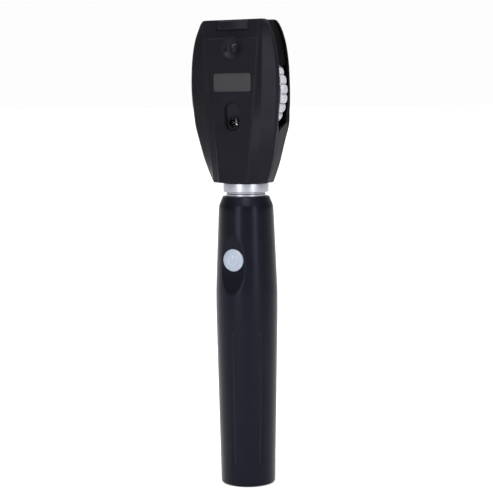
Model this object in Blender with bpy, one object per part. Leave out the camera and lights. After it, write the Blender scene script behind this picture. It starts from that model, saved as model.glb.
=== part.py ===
"""A direct ophthalmoscope: a two-shell head with a lens wheel, on a battery handle.

The origin is the centre of the handle's base, +Z runs up the handle, the
examiner's side faces -Y and +X is to the examiner's right of the instrument
as seen from the front. Depths called "forward" are measured along -Y.
"""

import math

import bmesh
import bpy
from mathutils import Matrix, Vector

MM = 0.001
GAP = 0.3 * MM

# Handle.
HANDLE_OUTLINE = (
    (14.53, 5.0),
    (15.09, 31.2),
    (15.61, 57.2),
    (16.08, 83.0),
    (16.26, 95.0),
    (16.26, 102.3),
    (16.03, 109.0),
    (15.25, 127.8),
    (14.41, 146.7),
    (14.15, 148.6),
    (12.20, 153.3),
)
BATTERY_BORE_RADIUS = 13.4 * MM
BOARD_BORE_RADIUS = 11.9 * MM
BORE_STEP_Z = 107.0 * MM
SLEEVE_SHOULDER_Z = 147.5 * MM
SLEEVE_TOP_Z = 153.3 * MM
SLEEVE_MOUTH_RADIUS = 10.3 * MM
FLUTE_COUNT = 6
FLUTE_OFFSET_DEG = -2.0
FLUTE_LOW_Z = 11.4 * MM
FLUTE_HIGH_Z = 82.6 * MM
FLUTE_HALF_WIDTH = 1.0 * MM
FLUTE_DEPTH = 0.4 * MM

# Switch button and the scoop around it.
BUTTON_Z = 120.6 * MM
BUTTON_RADIUS = 5.8 * MM
BUTTON_FACE = 15.0 * MM
BUTTON_BACK = 12.7 * MM
BUTTON_TRAVEL = 0.7 * MM
SCOOP_RADIUS = 69.0 * MM
SCOOP_FLOOR = 13.95 * MM
SCOOP_HALF_HEIGHT = 17.0 * MM

# Batteries, size C, and the screw cap under them.
BATTERY_RADIUS = 13.0 * MM
BATTERY_LENGTH = 50.0 * MM
BATTERY_BASE_Z = 6.2 * MM
CAP_RADIUS = 13.05 * MM
CAP_HEIGHT = 5.4 * MM

# Collar between handle and head.
COLLAR_RADIUS = 11.9 * MM
COLLAR_LIP_RADIUS = 10.34 * MM
COLLAR_BOTTOM_Z = 154.85 * MM
COLLAR_BODY_Z = 155.5 * MM
HEAD_BOTTOM_Z = 160.6 * MM

# Head outline: half width at each height, bottom to top.
HEAD_OUTLINE = (
    (15.9, 160.6),
    (18.4, 166.8),
    (20.8, 174.1),
    (23.0, 184.0),
    (24.3, 190.6),
    (24.9, 196.9),
    (25.5, 203.0),
    (25.8, 209.7),
    (25.7, 217.0),
    (25.2, 224.0),
    (24.1, 231.0),
    (22.7, 236.2),
    (21.2, 240.0),
    (19.2, 243.3),
    (17.9, 244.4),
)
# Front cover: height, half widths of panel and ridge, depths of ridge, side edge, rear edge.
FRONT_PROFILE = (
    (160.6, 8.2, 13.3, 10.9, 7.3, 6.2),
    (179.0, 9.8, 14.7, 12.0, 9.7, 6.8),
    (187.0, 10.6, 15.3, 12.45, 10.9, 7.4),
    (191.5, 11.0, 15.7, 12.7, 11.35, 9.5),
    (206.0, 12.4, 16.8, 13.5, 12.2, 9.6),
    (217.0, 13.3, 17.25, 13.5, 12.25, 10.4),
    (244.4, 15.3, 17.75, 13.5, 12.25, 10.4),
)
# Rear cover: height, and how far behind the axis its straight side reaches.
SIDE_REACH = (
    (176.0, 0.8),
    (182.8, 1.5),
    (190.8, 2.9),
    (199.0, 2.1),
    (207.0, 1.3),
    (215.0, 0.8),
)
HEAD_LEVELS = (
    160.6, 161.4, 166.8, 172.0, 179.0, 184.0, 187.0, 191.5, 196.9, 203.0,
    209.7, 217.0, 224.0, 230.2, 235.2, 238.4, 241.0, 243.3, 244.4,
)
HEAD_TOP_Z = 244.4 * MM
SLOT_LOW_Z = 187.0 * MM
SLOT_HIGH_Z = 191.5 * MM
CREASE_Z = 235.0 * MM
PANEL_FORWARD = 13.9 * MM
BAND_FORWARD = 13.5 * MM
FACET_SLOPE = 0.5
EDGE_BEVEL = 1.1 * MM
SHELL_BACK = -13.0 * MM
SHELL_WALL = 1.4 * MM
FRONT_WALL = 1.4 * MM

# Lens wheel.
WHEEL_Z = 207.5 * MM
WHEEL_FORWARD = 6.5 * MM
WHEEL_RADIUS = 27.2 * MM
WHEEL_BACK = 2.9 * MM
WHEEL_FRONT = 9.2 * MM
WHEEL_LOBES = 33
ARCH_RADIUS = 27.6 * MM
ARCH_LOW_Z = 220.8 * MM
ARCH_FRONT = 10.05 * MM
BAFFLE_THICK = 1.2 * MM
WHEEL_PLACES = 12
LENS_CIRCLE = 22.5 * MM
LENS_RADIUS = 2.0 * MM
WHEEL_AXLE_RADIUS = 1.5 * MM
SIGHT_Z = WHEEL_Z + LENS_CIRCLE

# Small pieces on the front.
DISH_RADIUS = 6.1 * MM
DIAL_WINDOW_Z = 191.8 * MM
WINDOW_INSERT_Z = 194.9 * MM
WINDOW_INSERT_HEIGHT = 15.2 * MM
WINDOW_INSERT_WIDTH = 9.1 * MM
PLATE_Z = 212.4 * MM
PLATE_WIDTH = 21.8 * MM
PLATE_HEIGHT = 9.3 * MM
PLATE_CORNER = 1.5 * MM
BROW_HALF_WIDTH = 9.4 * MM
BROW_LOW_Z = 239.2 * MM
BROW_HIGH_Z = 243.7 * MM

# Light path behind the wheel.
BEAM_FORWARD = -5.2 * MM
APERTURE_FORWARD = -9.0 * MM
APERTURE_RADIUS = 6.4 * MM
APERTURE_LOW_Z = 181.6 * MM
APERTURE_HIGH_Z = 183.6 * MM
APERTURE_HOLES = 5
MIRROR_Z = 222.5 * MM
PATIENT_WINDOW_Z = 226.0 * MM
PATIENT_WINDOW_RADIUS = 5.9 * MM
SCREW_PLACES = ((-9.5, 236.4), (9.5, 236.4), (-7.0, 176.0), (7.0, 176.0))

FACE_FORWARD = Matrix.Rotation(math.radians(90), 4, "X")


# ---------------------------------------------------------------- materials


def material(name, colour, roughness, metallic=0.0, alpha=1.0):
    """A Principled material, made once and then reused by name."""
    made = bpy.data.materials.get(name)
    if made:
        return made
    made = bpy.data.materials.new(name)
    made.use_nodes = True
    shader = made.node_tree.nodes["Principled BSDF"]
    shader.inputs["Base Color"].default_value = (*colour, 1.0)
    shader.inputs["Roughness"].default_value = roughness
    shader.inputs["Metallic"].default_value = metallic
    shader.inputs["Alpha"].default_value = alpha
    return made


def satin_black():
    return material("satin_black", (0.016, 0.016, 0.019), 0.42)


def matte_black():
    return material("matte_black", (0.008, 0.008, 0.009), 0.7)


def black_rubber():
    return material("black_rubber", (0.014, 0.014, 0.015), 0.85)


def grey_print():
    return material("grey_print", (0.09, 0.09, 0.1), 0.5)


def pale_plastic():
    return material("pale_plastic", (0.55, 0.53, 0.6), 0.45)


def button_plastic():
    return material("button_plastic", (0.42, 0.47, 0.55), 0.3)


def turned_aluminium():
    return material("turned_aluminium", (0.62, 0.63, 0.67), 0.28, 1.0)


def steel():
    return material("steel", (0.56, 0.56, 0.57), 0.3, 1.0)


def brass():
    return material("brass", (0.7, 0.52, 0.24), 0.3, 1.0)


def glass():
    return material("glass", (0.9, 0.93, 0.95), 0.03, 0.0, 0.35)


def mirror_silver():
    return material("mirror_silver", (0.9, 0.9, 0.9), 0.02, 1.0)


def board_green():
    return material("board_green", (0.02, 0.13, 0.06), 0.5)


def lamp_yellow():
    return material("lamp_yellow", (0.85, 0.72, 0.25), 0.35)


def battery_wrap():
    return material("battery_wrap", (0.32, 0.24, 0.12), 0.35)


def moulded_grey():
    return material("moulded_grey", (0.12, 0.12, 0.13), 0.55)


# ------------------------------------------------------------- mesh helpers


def clear_scene():
    for old in list(bpy.data.objects):
        bpy.data.objects.remove(old, do_unlink=True)


def add_object(name, bm, surface, origin=(0.0, 0.0, 0.0)):
    """A node from a bmesh that is in world space, with its origin where asked."""
    bmesh.ops.recalc_face_normals(bm, faces=bm.faces)
    bmesh.ops.translate(bm, verts=bm.verts, vec=-Vector(origin))
    mesh = bpy.data.meshes.new(name)
    bm.to_mesh(mesh)
    bm.free()
    mesh.shade_smooth()
    mesh.set_sharp_from_angle(angle=math.radians(32))
    made = bpy.data.objects.new(name, mesh)
    made.location = origin
    if surface:
        mesh.materials.append(surface)
    bpy.context.scene.collection.objects.link(made)
    return made


def combine(target, bm, operation, label):
    """A Boolean on target with a helper object that isn't rendered."""
    helper = add_object(f"{target.name}_{label}", bm, None)
    helper.hide_render = True
    helper.display_type = "WIRE"
    step = target.modifiers.new(label, "BOOLEAN")
    step.operation = operation
    step.solver = "EXACT"
    step.object = helper


def cut(target, bm, label):
    combine(target, bm, "DIFFERENCE", label)


def join(target, bm, label):
    combine(target, bm, "UNION", label)


def forward(x, depth, z):
    """A world point at this distance forward of the handle's axis."""
    return Vector((x, -depth, z))


def turned(profile, steps=24):
    """A profile of (radius, height) points spun about Z, closed at the axis or on itself."""
    bm = bmesh.new()
    points = [bm.verts.new((radius, 0.0, height)) for radius, height in profile]
    edges = [bm.edges.new(pair) for pair in zip(points, points[1:])]
    if profile[0][0] > 0 or profile[-1][0] > 0:
        edges.append(bm.edges.new((points[-1], points[0])))
    bmesh.ops.spin(
        bm,
        geom=points + edges,
        cent=(0.0, 0.0, 0.0),
        axis=(0.0, 0.0, 1.0),
        angle=math.tau,
        steps=steps,
        use_merge=True,
    )
    bmesh.ops.remove_doubles(bm, verts=bm.verts, dist=0.001 * MM)
    return bm


def turned_up(profile, x=0.0, depth=0.0, steps=24):
    """A turned shape whose axis is vertical, through (x, depth)."""
    bm = turned(profile, steps)
    bmesh.ops.translate(bm, verts=bm.verts, vec=forward(x, depth, 0.0))
    return bm


def turned_forward(profile, x=0.0, z=0.0, steps=24):
    """A turned shape whose axis points forward; its heights are depths forward."""
    bm = turned(profile, steps)
    bmesh.ops.transform(bm, matrix=FACE_FORWARD, verts=bm.verts)
    bmesh.ops.translate(bm, verts=bm.verts, vec=(x, 0.0, z))
    return bm


def rod(radius, low, high):
    return ((0.0, low), (radius, low), (radius, high), (0.0, high))


def tube(inner, outer, low, high):
    return ((inner, low), (outer, low), (outer, high), (inner, high))


def prism(points, travel):
    """The closed outline points, extruded by the vector travel."""
    bm = bmesh.new()
    face = bm.faces.new([bm.verts.new(point) for point in points])
    grown = bmesh.ops.extrude_face_region(bm, geom=[face])["geom"]
    moved = [item for item in grown if isinstance(item, bmesh.types.BMVert)]
    bmesh.ops.translate(bm, verts=moved, vec=travel)
    return bm


def prism_forward(outline, back, front):
    """An outline of (x, z) points, extruded from depth back to depth front."""
    points = [forward(x, back, z) for x, z in outline]
    return prism(points, forward(0.0, front - back, 0.0))


def prism_up(outline, low, high):
    """A plan outline of (x, depth) points, extruded from height low to high."""
    points = [forward(x, depth, low) for x, depth in outline]
    return prism(points, (0.0, 0.0, high - low))


def box(x_range, depth_range, z_range):
    low_x, high_x = x_range
    outline = (
        (low_x, z_range[0]),
        (high_x, z_range[0]),
        (high_x, z_range[1]),
        (low_x, z_range[1]),
    )
    return prism_forward(outline, *depth_range)


def arc(centre, radius, start, end, count):
    """Points on an arc, angles in degrees from the first axis towards the second."""
    points = []
    for step in range(count + 1):
        angle = math.radians(start + (end - start) * step / count)
        u = centre[0] + radius * math.cos(angle)
        v = centre[1] + radius * math.sin(angle)
        points.append((u, v))
    return points


def stadium(centre, width, height, count=10):
    """An upright slot outline with round ends."""
    radius = width / 2
    reach = height / 2 - radius
    top = arc((centre[0], centre[1] + reach), radius, 0, 180, count)
    bottom = arc((centre[0], centre[1] - reach), radius, 180, 360, count)
    return top + bottom


def round_box(centre, width, height, corner, count=4):
    """A rectangle outline with rounded corners."""
    reach_u = width / 2 - corner
    reach_v = height / 2 - corner
    points = []
    for side_u, side_v, start in ((1, 1, 0), (-1, 1, 90), (-1, -1, 180), (1, -1, 270)):
        middle = (centre[0] + side_u * reach_u, centre[1] + side_v * reach_v)
        points += arc(middle, corner, start, start + 90, count)
    return points


def coil(radius_low, radius_high, wire, low, high, turns, steps=12, sides=5):
    """A round-wire spring about Z, from height low to high."""
    bm = bmesh.new()
    rings = []
    count = int(turns * steps)
    for step in range(count + 1):
        part = step / count
        turn = math.tau * turns * part
        radius = radius_low + (radius_high - radius_low) * part
        height = low + wire + (high - low - 2 * wire) * part
        ring = []
        for side in range(sides):
            angle = math.tau * side / sides
            reach = radius + wire * math.cos(angle)
            rise = height + wire * math.sin(angle)
            place = (reach * math.cos(turn), reach * math.sin(turn), rise)
            ring.append(bm.verts.new(place))
        rings.append(ring)
    for first, second in zip(rings, rings[1:]):
        for side in range(sides):
            after = (side + 1) % sides
            bm.faces.new((first[side], first[after], second[after], second[side]))
    bm.faces.new(rings[0])
    bm.faces.new(rings[-1])
    return bm


def loft(levels, section):
    """Closed sections of (x, depth) points, one for each height, skinned and capped."""
    bm = bmesh.new()
    rings = []
    for z in levels:
        rings.append([bm.verts.new(forward(x, depth, z)) for x, depth in section(z)])
    for low, high in zip(rings, rings[1:]):
        for index in range(len(low)):
            after = (index + 1) % len(low)
            bm.faces.new((low[index], low[after], high[after], high[index]))
    bm.faces.new(rings[0])
    bm.faces.new(rings[-1])
    bmesh.ops.triangulate(bm, faces=bm.faces)
    return bm


def mirrored(right_half):
    """Both halves of a section whose right half runs from back to front."""
    return right_half + [(-x, depth) for x, depth in reversed(right_half)]


def ramp(z, low, high, below, above):
    """A value that is below up to low, above from high, and straight between."""
    part = min(max((z - low) / (high - low), 0.0), 1.0)
    return below + (above - below) * part


def half_width(z):
    """The head's half width at this height, on a smooth curve through its outline."""
    points = [(width * MM, height * MM) for width, height in HEAD_OUTLINE]
    if z <= points[0][1]:
        return points[0][0]
    for index in range(len(points) - 1):
        if z <= points[index + 1][1]:
            break
    before = points[max(index - 1, 0)]
    start = points[index]
    end = points[index + 1]
    after = points[min(index + 2, len(points) - 1)]
    span = end[1] - start[1]
    start_slope = (end[0] - before[0]) / (end[1] - before[1]) * span
    end_slope = (after[0] - start[0]) / (after[1] - start[1]) * span
    part = min((z - start[1]) / span, 1.0)
    square = part * part
    cube = square * part
    return (
        start[0] * (2 * cube - 3 * square + 1)
        + start_slope * (cube - 2 * square + part)
        + end[0] * (3 * square - 2 * cube)
        + end_slope * (cube - square)
    )


# -------------------------------------------------------------- head shells


def front_profile(z):
    """The front cover's five profile values at this height, between the rows of the table."""
    height = z / MM
    for low, high in zip(FRONT_PROFILE, FRONT_PROFILE[1:]):
        if height <= high[0]:
            break
    part = min(max((height - low[0]) / (high[0] - low[0]), 0.0), 1.0)
    return [(start + (end - start) * part) * MM for start, end in zip(low[1:], high[1:])]


def rear_edge_depth(z):
    """Where the rear cover's front edge lies: closed below the wheel, open beside it."""
    closed = front_profile(z)[4] - GAP
    return ramp(z, SLOT_LOW_Z, SLOT_HIGH_Z, closed, 0.0)


def side_reach(z):
    """How far behind the axis the rear cover's side runs straight, at this height."""
    for low, high in zip(SIDE_REACH, SIDE_REACH[1:]):
        if z / MM <= high[0]:
            break
    return ramp(z / MM, low[0], high[0], low[1], high[1]) * MM


def front_cover_section(z):
    """Flat centre panel, lower band beside it, sloping facet, bevelled edge."""
    width = half_width(z)
    panel, ridge, ridge_depth, edge_depth, parting = front_profile(z)
    lean = ramp(z, CREASE_Z, HEAD_TOP_Z, 0.0, 0.7 * MM)
    raised = PANEL_FORWARD - lean
    if z > CREASE_Z - 0.1 * MM:
        raised = BAND_FORWARD - lean
    edge = width - EDGE_BEVEL
    ridge = min(ridge, edge - 0.4 * MM)
    if z > SLOT_LOW_Z:
        edge_depth = max(edge_depth, ridge_depth - FACET_SLOPE * (edge - ridge))
    right_half = [
        (width, parting),
        (width, edge_depth - lean - 0.8 * MM),
        (edge, edge_depth - lean),
        (ridge, ridge_depth - lean),
        (panel + 0.6 * MM, BAND_FORWARD - lean),
        (panel, raised),
    ]
    return mirrored(right_half)


def front_cavity_section(z):
    """The front cover's hollow: the outer section moved inwards by about a wall."""
    width = half_width(z) - 1.6 * MM
    panel, ridge, ridge_depth, edge_depth, _ = front_profile(z)
    roof = PANEL_FORWARD - FRONT_WALL - 0.3 * MM
    right_half = [
        (width, 4.0 * MM),
        (width, edge_depth - 2.2 * MM),
        (min(ridge, width) - 0.8 * MM, min(ridge_depth - 1.4 * MM, roof - 0.1 * MM)),
        (panel - 1.5 * MM, roof),
    ]
    return mirrored(right_half)


def rear_cover_section(z):
    """Straight side, then tapering in steps to a flat back."""
    width = half_width(z)
    right_half = [
        (width, -side_reach(z)),
        (width, rear_edge_depth(z) - 0.4 * MM),
        (width - 0.4 * MM, rear_edge_depth(z)),
    ]
    back_half = [
        (max(width - 12.0 * MM, 2.0 * MM), SHELL_BACK),
        (max(width - 9.5 * MM, 4.0 * MM), -12.3 * MM),
        (width - 6.0 * MM, -9.6 * MM),
        (width - 2.6 * MM, -5.6 * MM),
    ]
    return mirrored(back_half + right_half)


def rear_cavity_section(z):
    width = half_width(z) - SHELL_WALL - 0.1 * MM
    right_half = [
        (max(width - 9.6 * MM, 2.6 * MM), SHELL_BACK + SHELL_WALL),
        (max(width - 5.6 * MM, 3.6 * MM), -8.8 * MM),
        (width - 2.2 * MM, -4.6 * MM),
        (width, -1.4 * MM),
        (width, 12.0 * MM),
    ]
    return mirrored(right_half)


def head_heights(low=HEAD_BOTTOM_Z, high=HEAD_TOP_Z, extra=()):
    """The loft's heights between two limits, with the limits themselves."""
    inside = [z * MM for z in HEAD_LEVELS if low < z * MM < high]
    return sorted([low, high, *inside, *extra])


def head_front_cover():
    heights = head_heights(extra=(CREASE_Z - 0.2 * MM, CREASE_Z))
    made = add_object("head_front_cover", loft(heights, front_cover_section), satin_black())
    hollow = head_heights(HEAD_BOTTOM_Z + 1.6 * MM, 238.0 * MM)
    cut(made, loft(hollow, front_cavity_section), "hollow")
    join_baffles(made, 9.4 * MM, (9.5 * MM, 12.6 * MM), (190.0 * MM, 222.0 * MM), "front_baffle")
    cut(made, turned_forward(rod(DISH_RADIUS + GAP, 9.0 * MM, 16.0 * MM), z=SIGHT_Z), "sight")
    slot = stadium(
        (0.0, WINDOW_INSERT_Z),
        WINDOW_INSERT_WIDTH + 2 * GAP,
        WINDOW_INSERT_HEIGHT + 2 * GAP,
    )
    cut(made, prism_forward(slot, 9.0 * MM, 16.0 * MM), "window")
    seat = round_box(
        (0.0, PLATE_Z), PLATE_WIDTH + 2 * GAP, PLATE_HEIGHT + 2 * GAP, PLATE_CORNER + GAP
    )
    cut(made, prism_forward(seat, 13.2 * MM, 16.0 * MM), "plate_seat")
    reach = BROW_HALF_WIDTH + GAP
    notch = box((-reach, reach), (11.8 * MM, 17.0 * MM), (BROW_LOW_Z - GAP, 246.0 * MM))
    cut(made, notch, "brow_notch")
    cut(made, collar_hole(), "collar_hole")
    return made


def collar_hole():
    """Clearance for the collar's neck through the floor of both covers."""
    return turned_up(rod(9.3 * MM, 158.0 * MM, 163.0 * MM), steps=32)


def head_rear_cover():
    made = add_object("head_rear_cover", loft(head_heights(), rear_cover_section), satin_black())
    hollow = head_heights(HEAD_BOTTOM_Z + 1.6 * MM, HEAD_TOP_Z - SHELL_WALL)
    cut(made, loft(hollow, rear_cavity_section), "hollow")
    for number, (x, z) in enumerate(SCREW_PLACES, 1):
        boss = rod(2.4 * MM, SHELL_BACK + 1.0 * MM, -0.4 * MM)
        join(made, turned_forward(boss, x * MM, z * MM, 12), f"boss_{number}")
        shank = rod(1.3 * MM, -16.0 * MM, 2.0 * MM)
        cut(made, turned_forward(shank, x * MM, z * MM, 10), f"shank_hole_{number}")
        head = rod(2.0 * MM, -16.0 * MM, SHELL_BACK + 1.5 * MM)
        cut(made, turned_forward(head, x * MM, z * MM, 12), f"counterbore_{number}")
    window = rod(PATIENT_WINDOW_RADIUS + GAP, -16.0 * MM, -9.0 * MM)
    cut(made, turned_forward(window, z=PATIENT_WINDOW_Z), "patient_window")
    cut(made, collar_hole(), "collar_hole")
    reach = APERTURE_RADIUS + 0.8 * MM
    slot = box(
        (-reach, reach),
        (-17.0 * MM, -9.0 * MM),
        (APERTURE_LOW_Z - 0.5 * MM, APERTURE_HIGH_Z + 0.5 * MM),
    )
    cut(made, slot, "aperture_slot")
    return made


def join_baffles(made, reach, depth_range, z_range, name):
    """Joins a pair of thin walls that close the straight view through the head from the side."""
    near = reach + BAFFLE_THICK
    join(made, box((reach, near), depth_range, z_range), f"{name}_right")
    join(made, box((-near, -reach), depth_range, z_range), f"{name}_left")


def head_chassis():
    """The plate between the covers that carries the axle, with the arch over the wheel."""
    levels = head_heights(168.0 * MM, HEAD_TOP_Z - 0.3 * MM)
    right = [(half_width(z) - ramp(z, 230 * MM, 236 * MM, 3.2 * MM, 1.9 * MM), z) for z in levels]
    left = [(-x, z) for x, z in reversed(right)]
    made = add_object("head_chassis", prism_forward(right + left, 0.6 * MM, 2.2 * MM), matte_black())
    upper = head_heights(ARCH_LOW_Z, HEAD_TOP_Z - 0.3 * MM)
    right = [(half_width(z) - 0.9 * MM, z) for z in upper]
    left = [(-x, z) for x, z in reversed(right)]
    rise = math.degrees(math.asin((ARCH_LOW_Z - WHEEL_Z) / ARCH_RADIUS))
    under = arc((0.0, WHEEL_Z), ARCH_RADIUS, 180 - rise, rise, 20)
    join(made, prism_forward(right + left + under, 1.4 * MM, ARCH_FRONT), "arch")
    join_baffles(made, 13.0 * MM, (-2.0 * MM, 0.9 * MM), (186.0 * MM, 242.0 * MM), "rear_baffle")
    join_baffles(made, 14.4 * MM, (1.9 * MM, 4.5 * MM), (189.0 * MM, 224.0 * MM), "wheel_baffle")
    cut(made, turned_forward(rod(2.8 * MM, -2.0 * MM, 5.0 * MM), z=SIGHT_Z, steps=24), "sight")
    hole = rod(WHEEL_AXLE_RADIUS + GAP, -2.0 * MM, 5.0 * MM)
    cut(made, turned_forward(hole, z=WHEEL_Z, steps=20), "axle_hole")
    for number, (x, z) in enumerate(SCREW_PLACES, 1):
        hole = rod(1.3 * MM, -2.0 * MM, 8.0 * MM)
        cut(made, turned_forward(hole, x * MM, z * MM, 10), f"screw_hole_{number}")
    return made


def cover_screws():
    """Four pan-head screws, from the rear cover through the chassis."""
    for number, (x, z) in enumerate(SCREW_PLACES, 1):
        back = SHELL_BACK + 0.4 * MM
        profile = (
            (0.0, back),
            (1.4 * MM, back),
            (1.7 * MM, back + 0.3 * MM),
            (1.7 * MM, back + 0.7 * MM),
            (1.0 * MM, back + 0.7 * MM),
            (1.0 * MM, 6.0 * MM),
            (0.0, 6.0 * MM),
        )
        made = add_object(
            f"cover_screw_{number}", turned_forward(profile, x * MM, z * MM, 14), steel()
        )
        slot = box(
            (x * MM - 0.25 * MM, x * MM + 0.25 * MM),
            (back - 1.0 * MM, back + 0.3 * MM),
            (z * MM - 1.1 * MM, z * MM + 1.1 * MM),
        )
        cut(made, slot, "drive")


# ------------------------------------------------------ pieces on the front


def viewing_dish():
    """The conical eyepiece that the examiner looks into."""
    profile = (
        (2.0 * MM, 11.6 * MM),
        (2.7 * MM, 11.6 * MM),
        (2.7 * MM, 10.9 * MM),
        (DISH_RADIUS, 10.9 * MM),
        (DISH_RADIUS, 14.1 * MM),
        (5.7 * MM, 14.3 * MM),
        (5.4 * MM, 14.1 * MM),
        (2.2 * MM, 12.4 * MM),
        (2.0 * MM, 12.2 * MM),
    )
    add_object("viewing_dish", turned_forward(profile, z=SIGHT_Z, steps=28), satin_black())


def viewing_window():
    profile = rod(2.35 * MM, 10.8 * MM, 11.3 * MM)
    add_object("viewing_window", turned_forward(profile, z=SIGHT_Z, steps=24), glass())


def dial_window_frame():
    """The recessed insert with a sloping floor and a round frame for the dial's lens."""
    outline = stadium((0.0, WINDOW_INSERT_Z), WINDOW_INSERT_WIDTH, WINDOW_INSERT_HEIGHT)
    made = add_object("dial_window_frame", prism_forward(outline, 11.0 * MM, 13.7 * MM), satin_black())
    inner = stadium(
        (0.0, WINDOW_INSERT_Z),
        WINDOW_INSERT_WIDTH - 1.2 * MM,
        WINDOW_INSERT_HEIGHT - 1.2 * MM,
    )
    dip = prism_forward(inner, 12.2 * MM, 15.0 * MM)
    top_z = WINDOW_INSERT_Z + WINDOW_INSERT_HEIGHT / 2
    for point in dip.verts:
        if point.co.y > -13.0 * MM:
            rise = ramp(point.co.z, DIAL_WINDOW_Z + 2.0 * MM, top_z, 0.0, 1.3 * MM)
            point.co.y -= rise
    cut(made, dip, "dip")
    ring = tube(2.55 * MM, 3.4 * MM, 11.6 * MM, 13.3 * MM)
    join(made, turned_forward(ring, z=DIAL_WINDOW_Z), "ring")
    hole = rod(2.6 * MM, 9.0 * MM, 15.0 * MM)
    cut(made, turned_forward(hole, z=DIAL_WINDOW_Z), "hole")


def dial_window_lens():
    profile = [(0.0, 11.3 * MM), (2.3 * MM, 11.3 * MM), (2.3 * MM, 12.0 * MM)]
    dome = arc((0.0, 8.0 * MM), 4.62 * MM, 60.0, 90.0, 4)
    profile += [(max(radius, 0.0), height) for radius, height in dome[1:-1]]
    profile.append((0.0, 12.62 * MM))
    add_object("dial_window_lens", turned_forward(profile, z=DIAL_WINDOW_Z, steps=24), glass())


def name_plate():
    """A blank badge with rounded corners."""
    outline = round_box((0.0, PLATE_Z), PLATE_WIDTH, PLATE_HEIGHT, PLATE_CORNER)
    add_object("name_plate", prism_forward(outline, 13.45 * MM, 14.0 * MM), grey_print())


def brow_rest():
    """The soft pad that crowns forward at the top of the front cover."""
    back = 12.1 * MM
    outline = [(-BROW_HALF_WIDTH, back), (BROW_HALF_WIDTH, back)]
    for step in range(13):
        x = BROW_HALF_WIDTH * (1 - step / 6)
        crown = 1.5 * MM * (1 - (x / BROW_HALF_WIDTH) ** 2)
        outline.append((x, 13.1 * MM + crown))
    add_object("brow_rest", prism_up(outline, BROW_LOW_Z, BROW_HIGH_Z), black_rubber())


# --------------------------------------------------------------- lens wheel


def wheel_outline():
    """The scalloped rim: a round bead for each place where a finger catches."""
    steps = WHEEL_LOBES * 4
    depth = 1.1 * MM
    points = []
    for step in range(steps):
        turn = math.tau * step / steps
        wave = abs(math.cos(WHEEL_LOBES * turn / 2))
        radius = WHEEL_RADIUS - depth + depth * math.sqrt(wave)
        points.append((radius * math.sin(turn), WHEEL_Z + radius * math.cos(turn)))
    return points


def wheel_pivot():
    return forward(0.0, WHEEL_FORWARD, WHEEL_Z)


def wheel_place(number):
    """Where lens place number lies on the wheel; place 0 is on the line of sight."""
    turn = math.tau * number / WHEEL_PLACES
    return LENS_CIRCLE * math.sin(turn), WHEEL_Z + LENS_CIRCLE * math.cos(turn)


def lens_wheel():
    made = add_object(
        "lens_wheel",
        prism_forward(wheel_outline(), WHEEL_BACK, WHEEL_FRONT),
        pale_plastic(),
        wheel_pivot(),
    )
    dish = ((19.4, 8.0), (25.4, 8.0), (25.4, 12.0), (19.4, 12.0))
    profile = [(radius * MM, height * MM) for radius, height in dish]
    cut(made, turned_forward(profile, z=WHEEL_Z, steps=48), "front_dish")
    hollow = rod(25.4 * MM, 0.0, 5.0 * MM)
    cut(made, turned_forward(hollow, z=WHEEL_Z, steps=48), "back_hollow")
    hole = rod(WHEEL_AXLE_RADIUS + GAP, 0.0, 14.0 * MM)
    cut(made, turned_forward(hole, z=WHEEL_Z, steps=20), "axle_hole")
    for number in range(WHEEL_PLACES):
        x, z = wheel_place(number)
        place = rod(LENS_RADIUS + GAP, 0.0, 14.0 * MM)
        cut(made, turned_forward(place, x, z, 12), f"lens_place_{number}")


def wheel_lenses():
    """Convex lenses one way round from the open place and concave ones the other way."""
    half_way = WHEEL_PLACES // 2
    for number in range(1, WHEEL_PLACES):
        power = number / half_way
        if number > half_way:
            power = -(WHEEL_PLACES - number) / (half_way - 1)
        x, z = wheel_place(number)
        sag = 0.45 * MM * power
        edge = 0.75 * MM - 0.5 * sag
        middle = 6.5 * MM
        profile = [(0.0, middle - edge - sag)]
        for part in (0.6, 1.0):
            profile.append((LENS_RADIUS * part, middle - edge - sag * (1 - part * part)))
        for part in (1.0, 0.6):
            profile.append((LENS_RADIUS * part, middle + edge + sag * (1 - part * part)))
        profile.append((0.0, middle + edge + sag))
        add_object(
            f"wheel_lens_{number:02d}", turned_forward(profile, x, z, 12), glass(), wheel_pivot()
        )


def wheel_axle():
    """A shouldered pin from the chassis, with its head in front of the wheel."""
    profile = (
        (0.0, -0.6 * MM),
        (WHEEL_AXLE_RADIUS, -0.6 * MM),
        (WHEEL_AXLE_RADIUS, WHEEL_FRONT + GAP),
        (3.2 * MM, WHEEL_FRONT + GAP),
        (3.2 * MM, 10.6 * MM),
        (0.0, 10.6 * MM),
    )
    add_object("wheel_axle", turned_forward(profile, z=WHEEL_Z, steps=24), steel())


def wheel_axle_clip():
    """The ring that holds the axle behind the chassis."""
    profile = tube(WHEEL_AXLE_RADIUS + GAP, 3.0 * MM, -0.5 * MM, 0.2 * MM)
    add_object("wheel_axle_clip", turned_forward(profile, z=WHEEL_Z, steps=24), steel())


def detent_spring():
    """A leaf from the chassis whose crest stands behind the wheel's web."""
    crest = (
        (2.8, -11.0), (2.8, -6.1), (3.3, -2.2), (4.6, 0.0), (3.65, 2.4),
        (3.4, 2.2), (4.15, 0.1), (3.05, -1.9), (2.5, -5.9), (2.5, -11.0),
    )
    place_x = -13.0 * MM
    points = [
        forward(place_x, depth * MM, WHEEL_Z + along * MM) for depth, along in crest
    ]
    add_object("detent_spring", prism(points, (3.0 * MM, 0.0, 0.0)), steel())


# ------------------------------------------------------ light path and lamp


def holder_plan():
    """A plan that wraps the beam and reaches back to the aperture wheel's axle."""
    beam = arc((0.0, BEAM_FORWARD), 3.9 * MM, -15, 195, 10)
    axle = arc((0.0, APERTURE_FORWARD), 1.9 * MM, 195, 345, 6)
    return beam + axle


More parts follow.
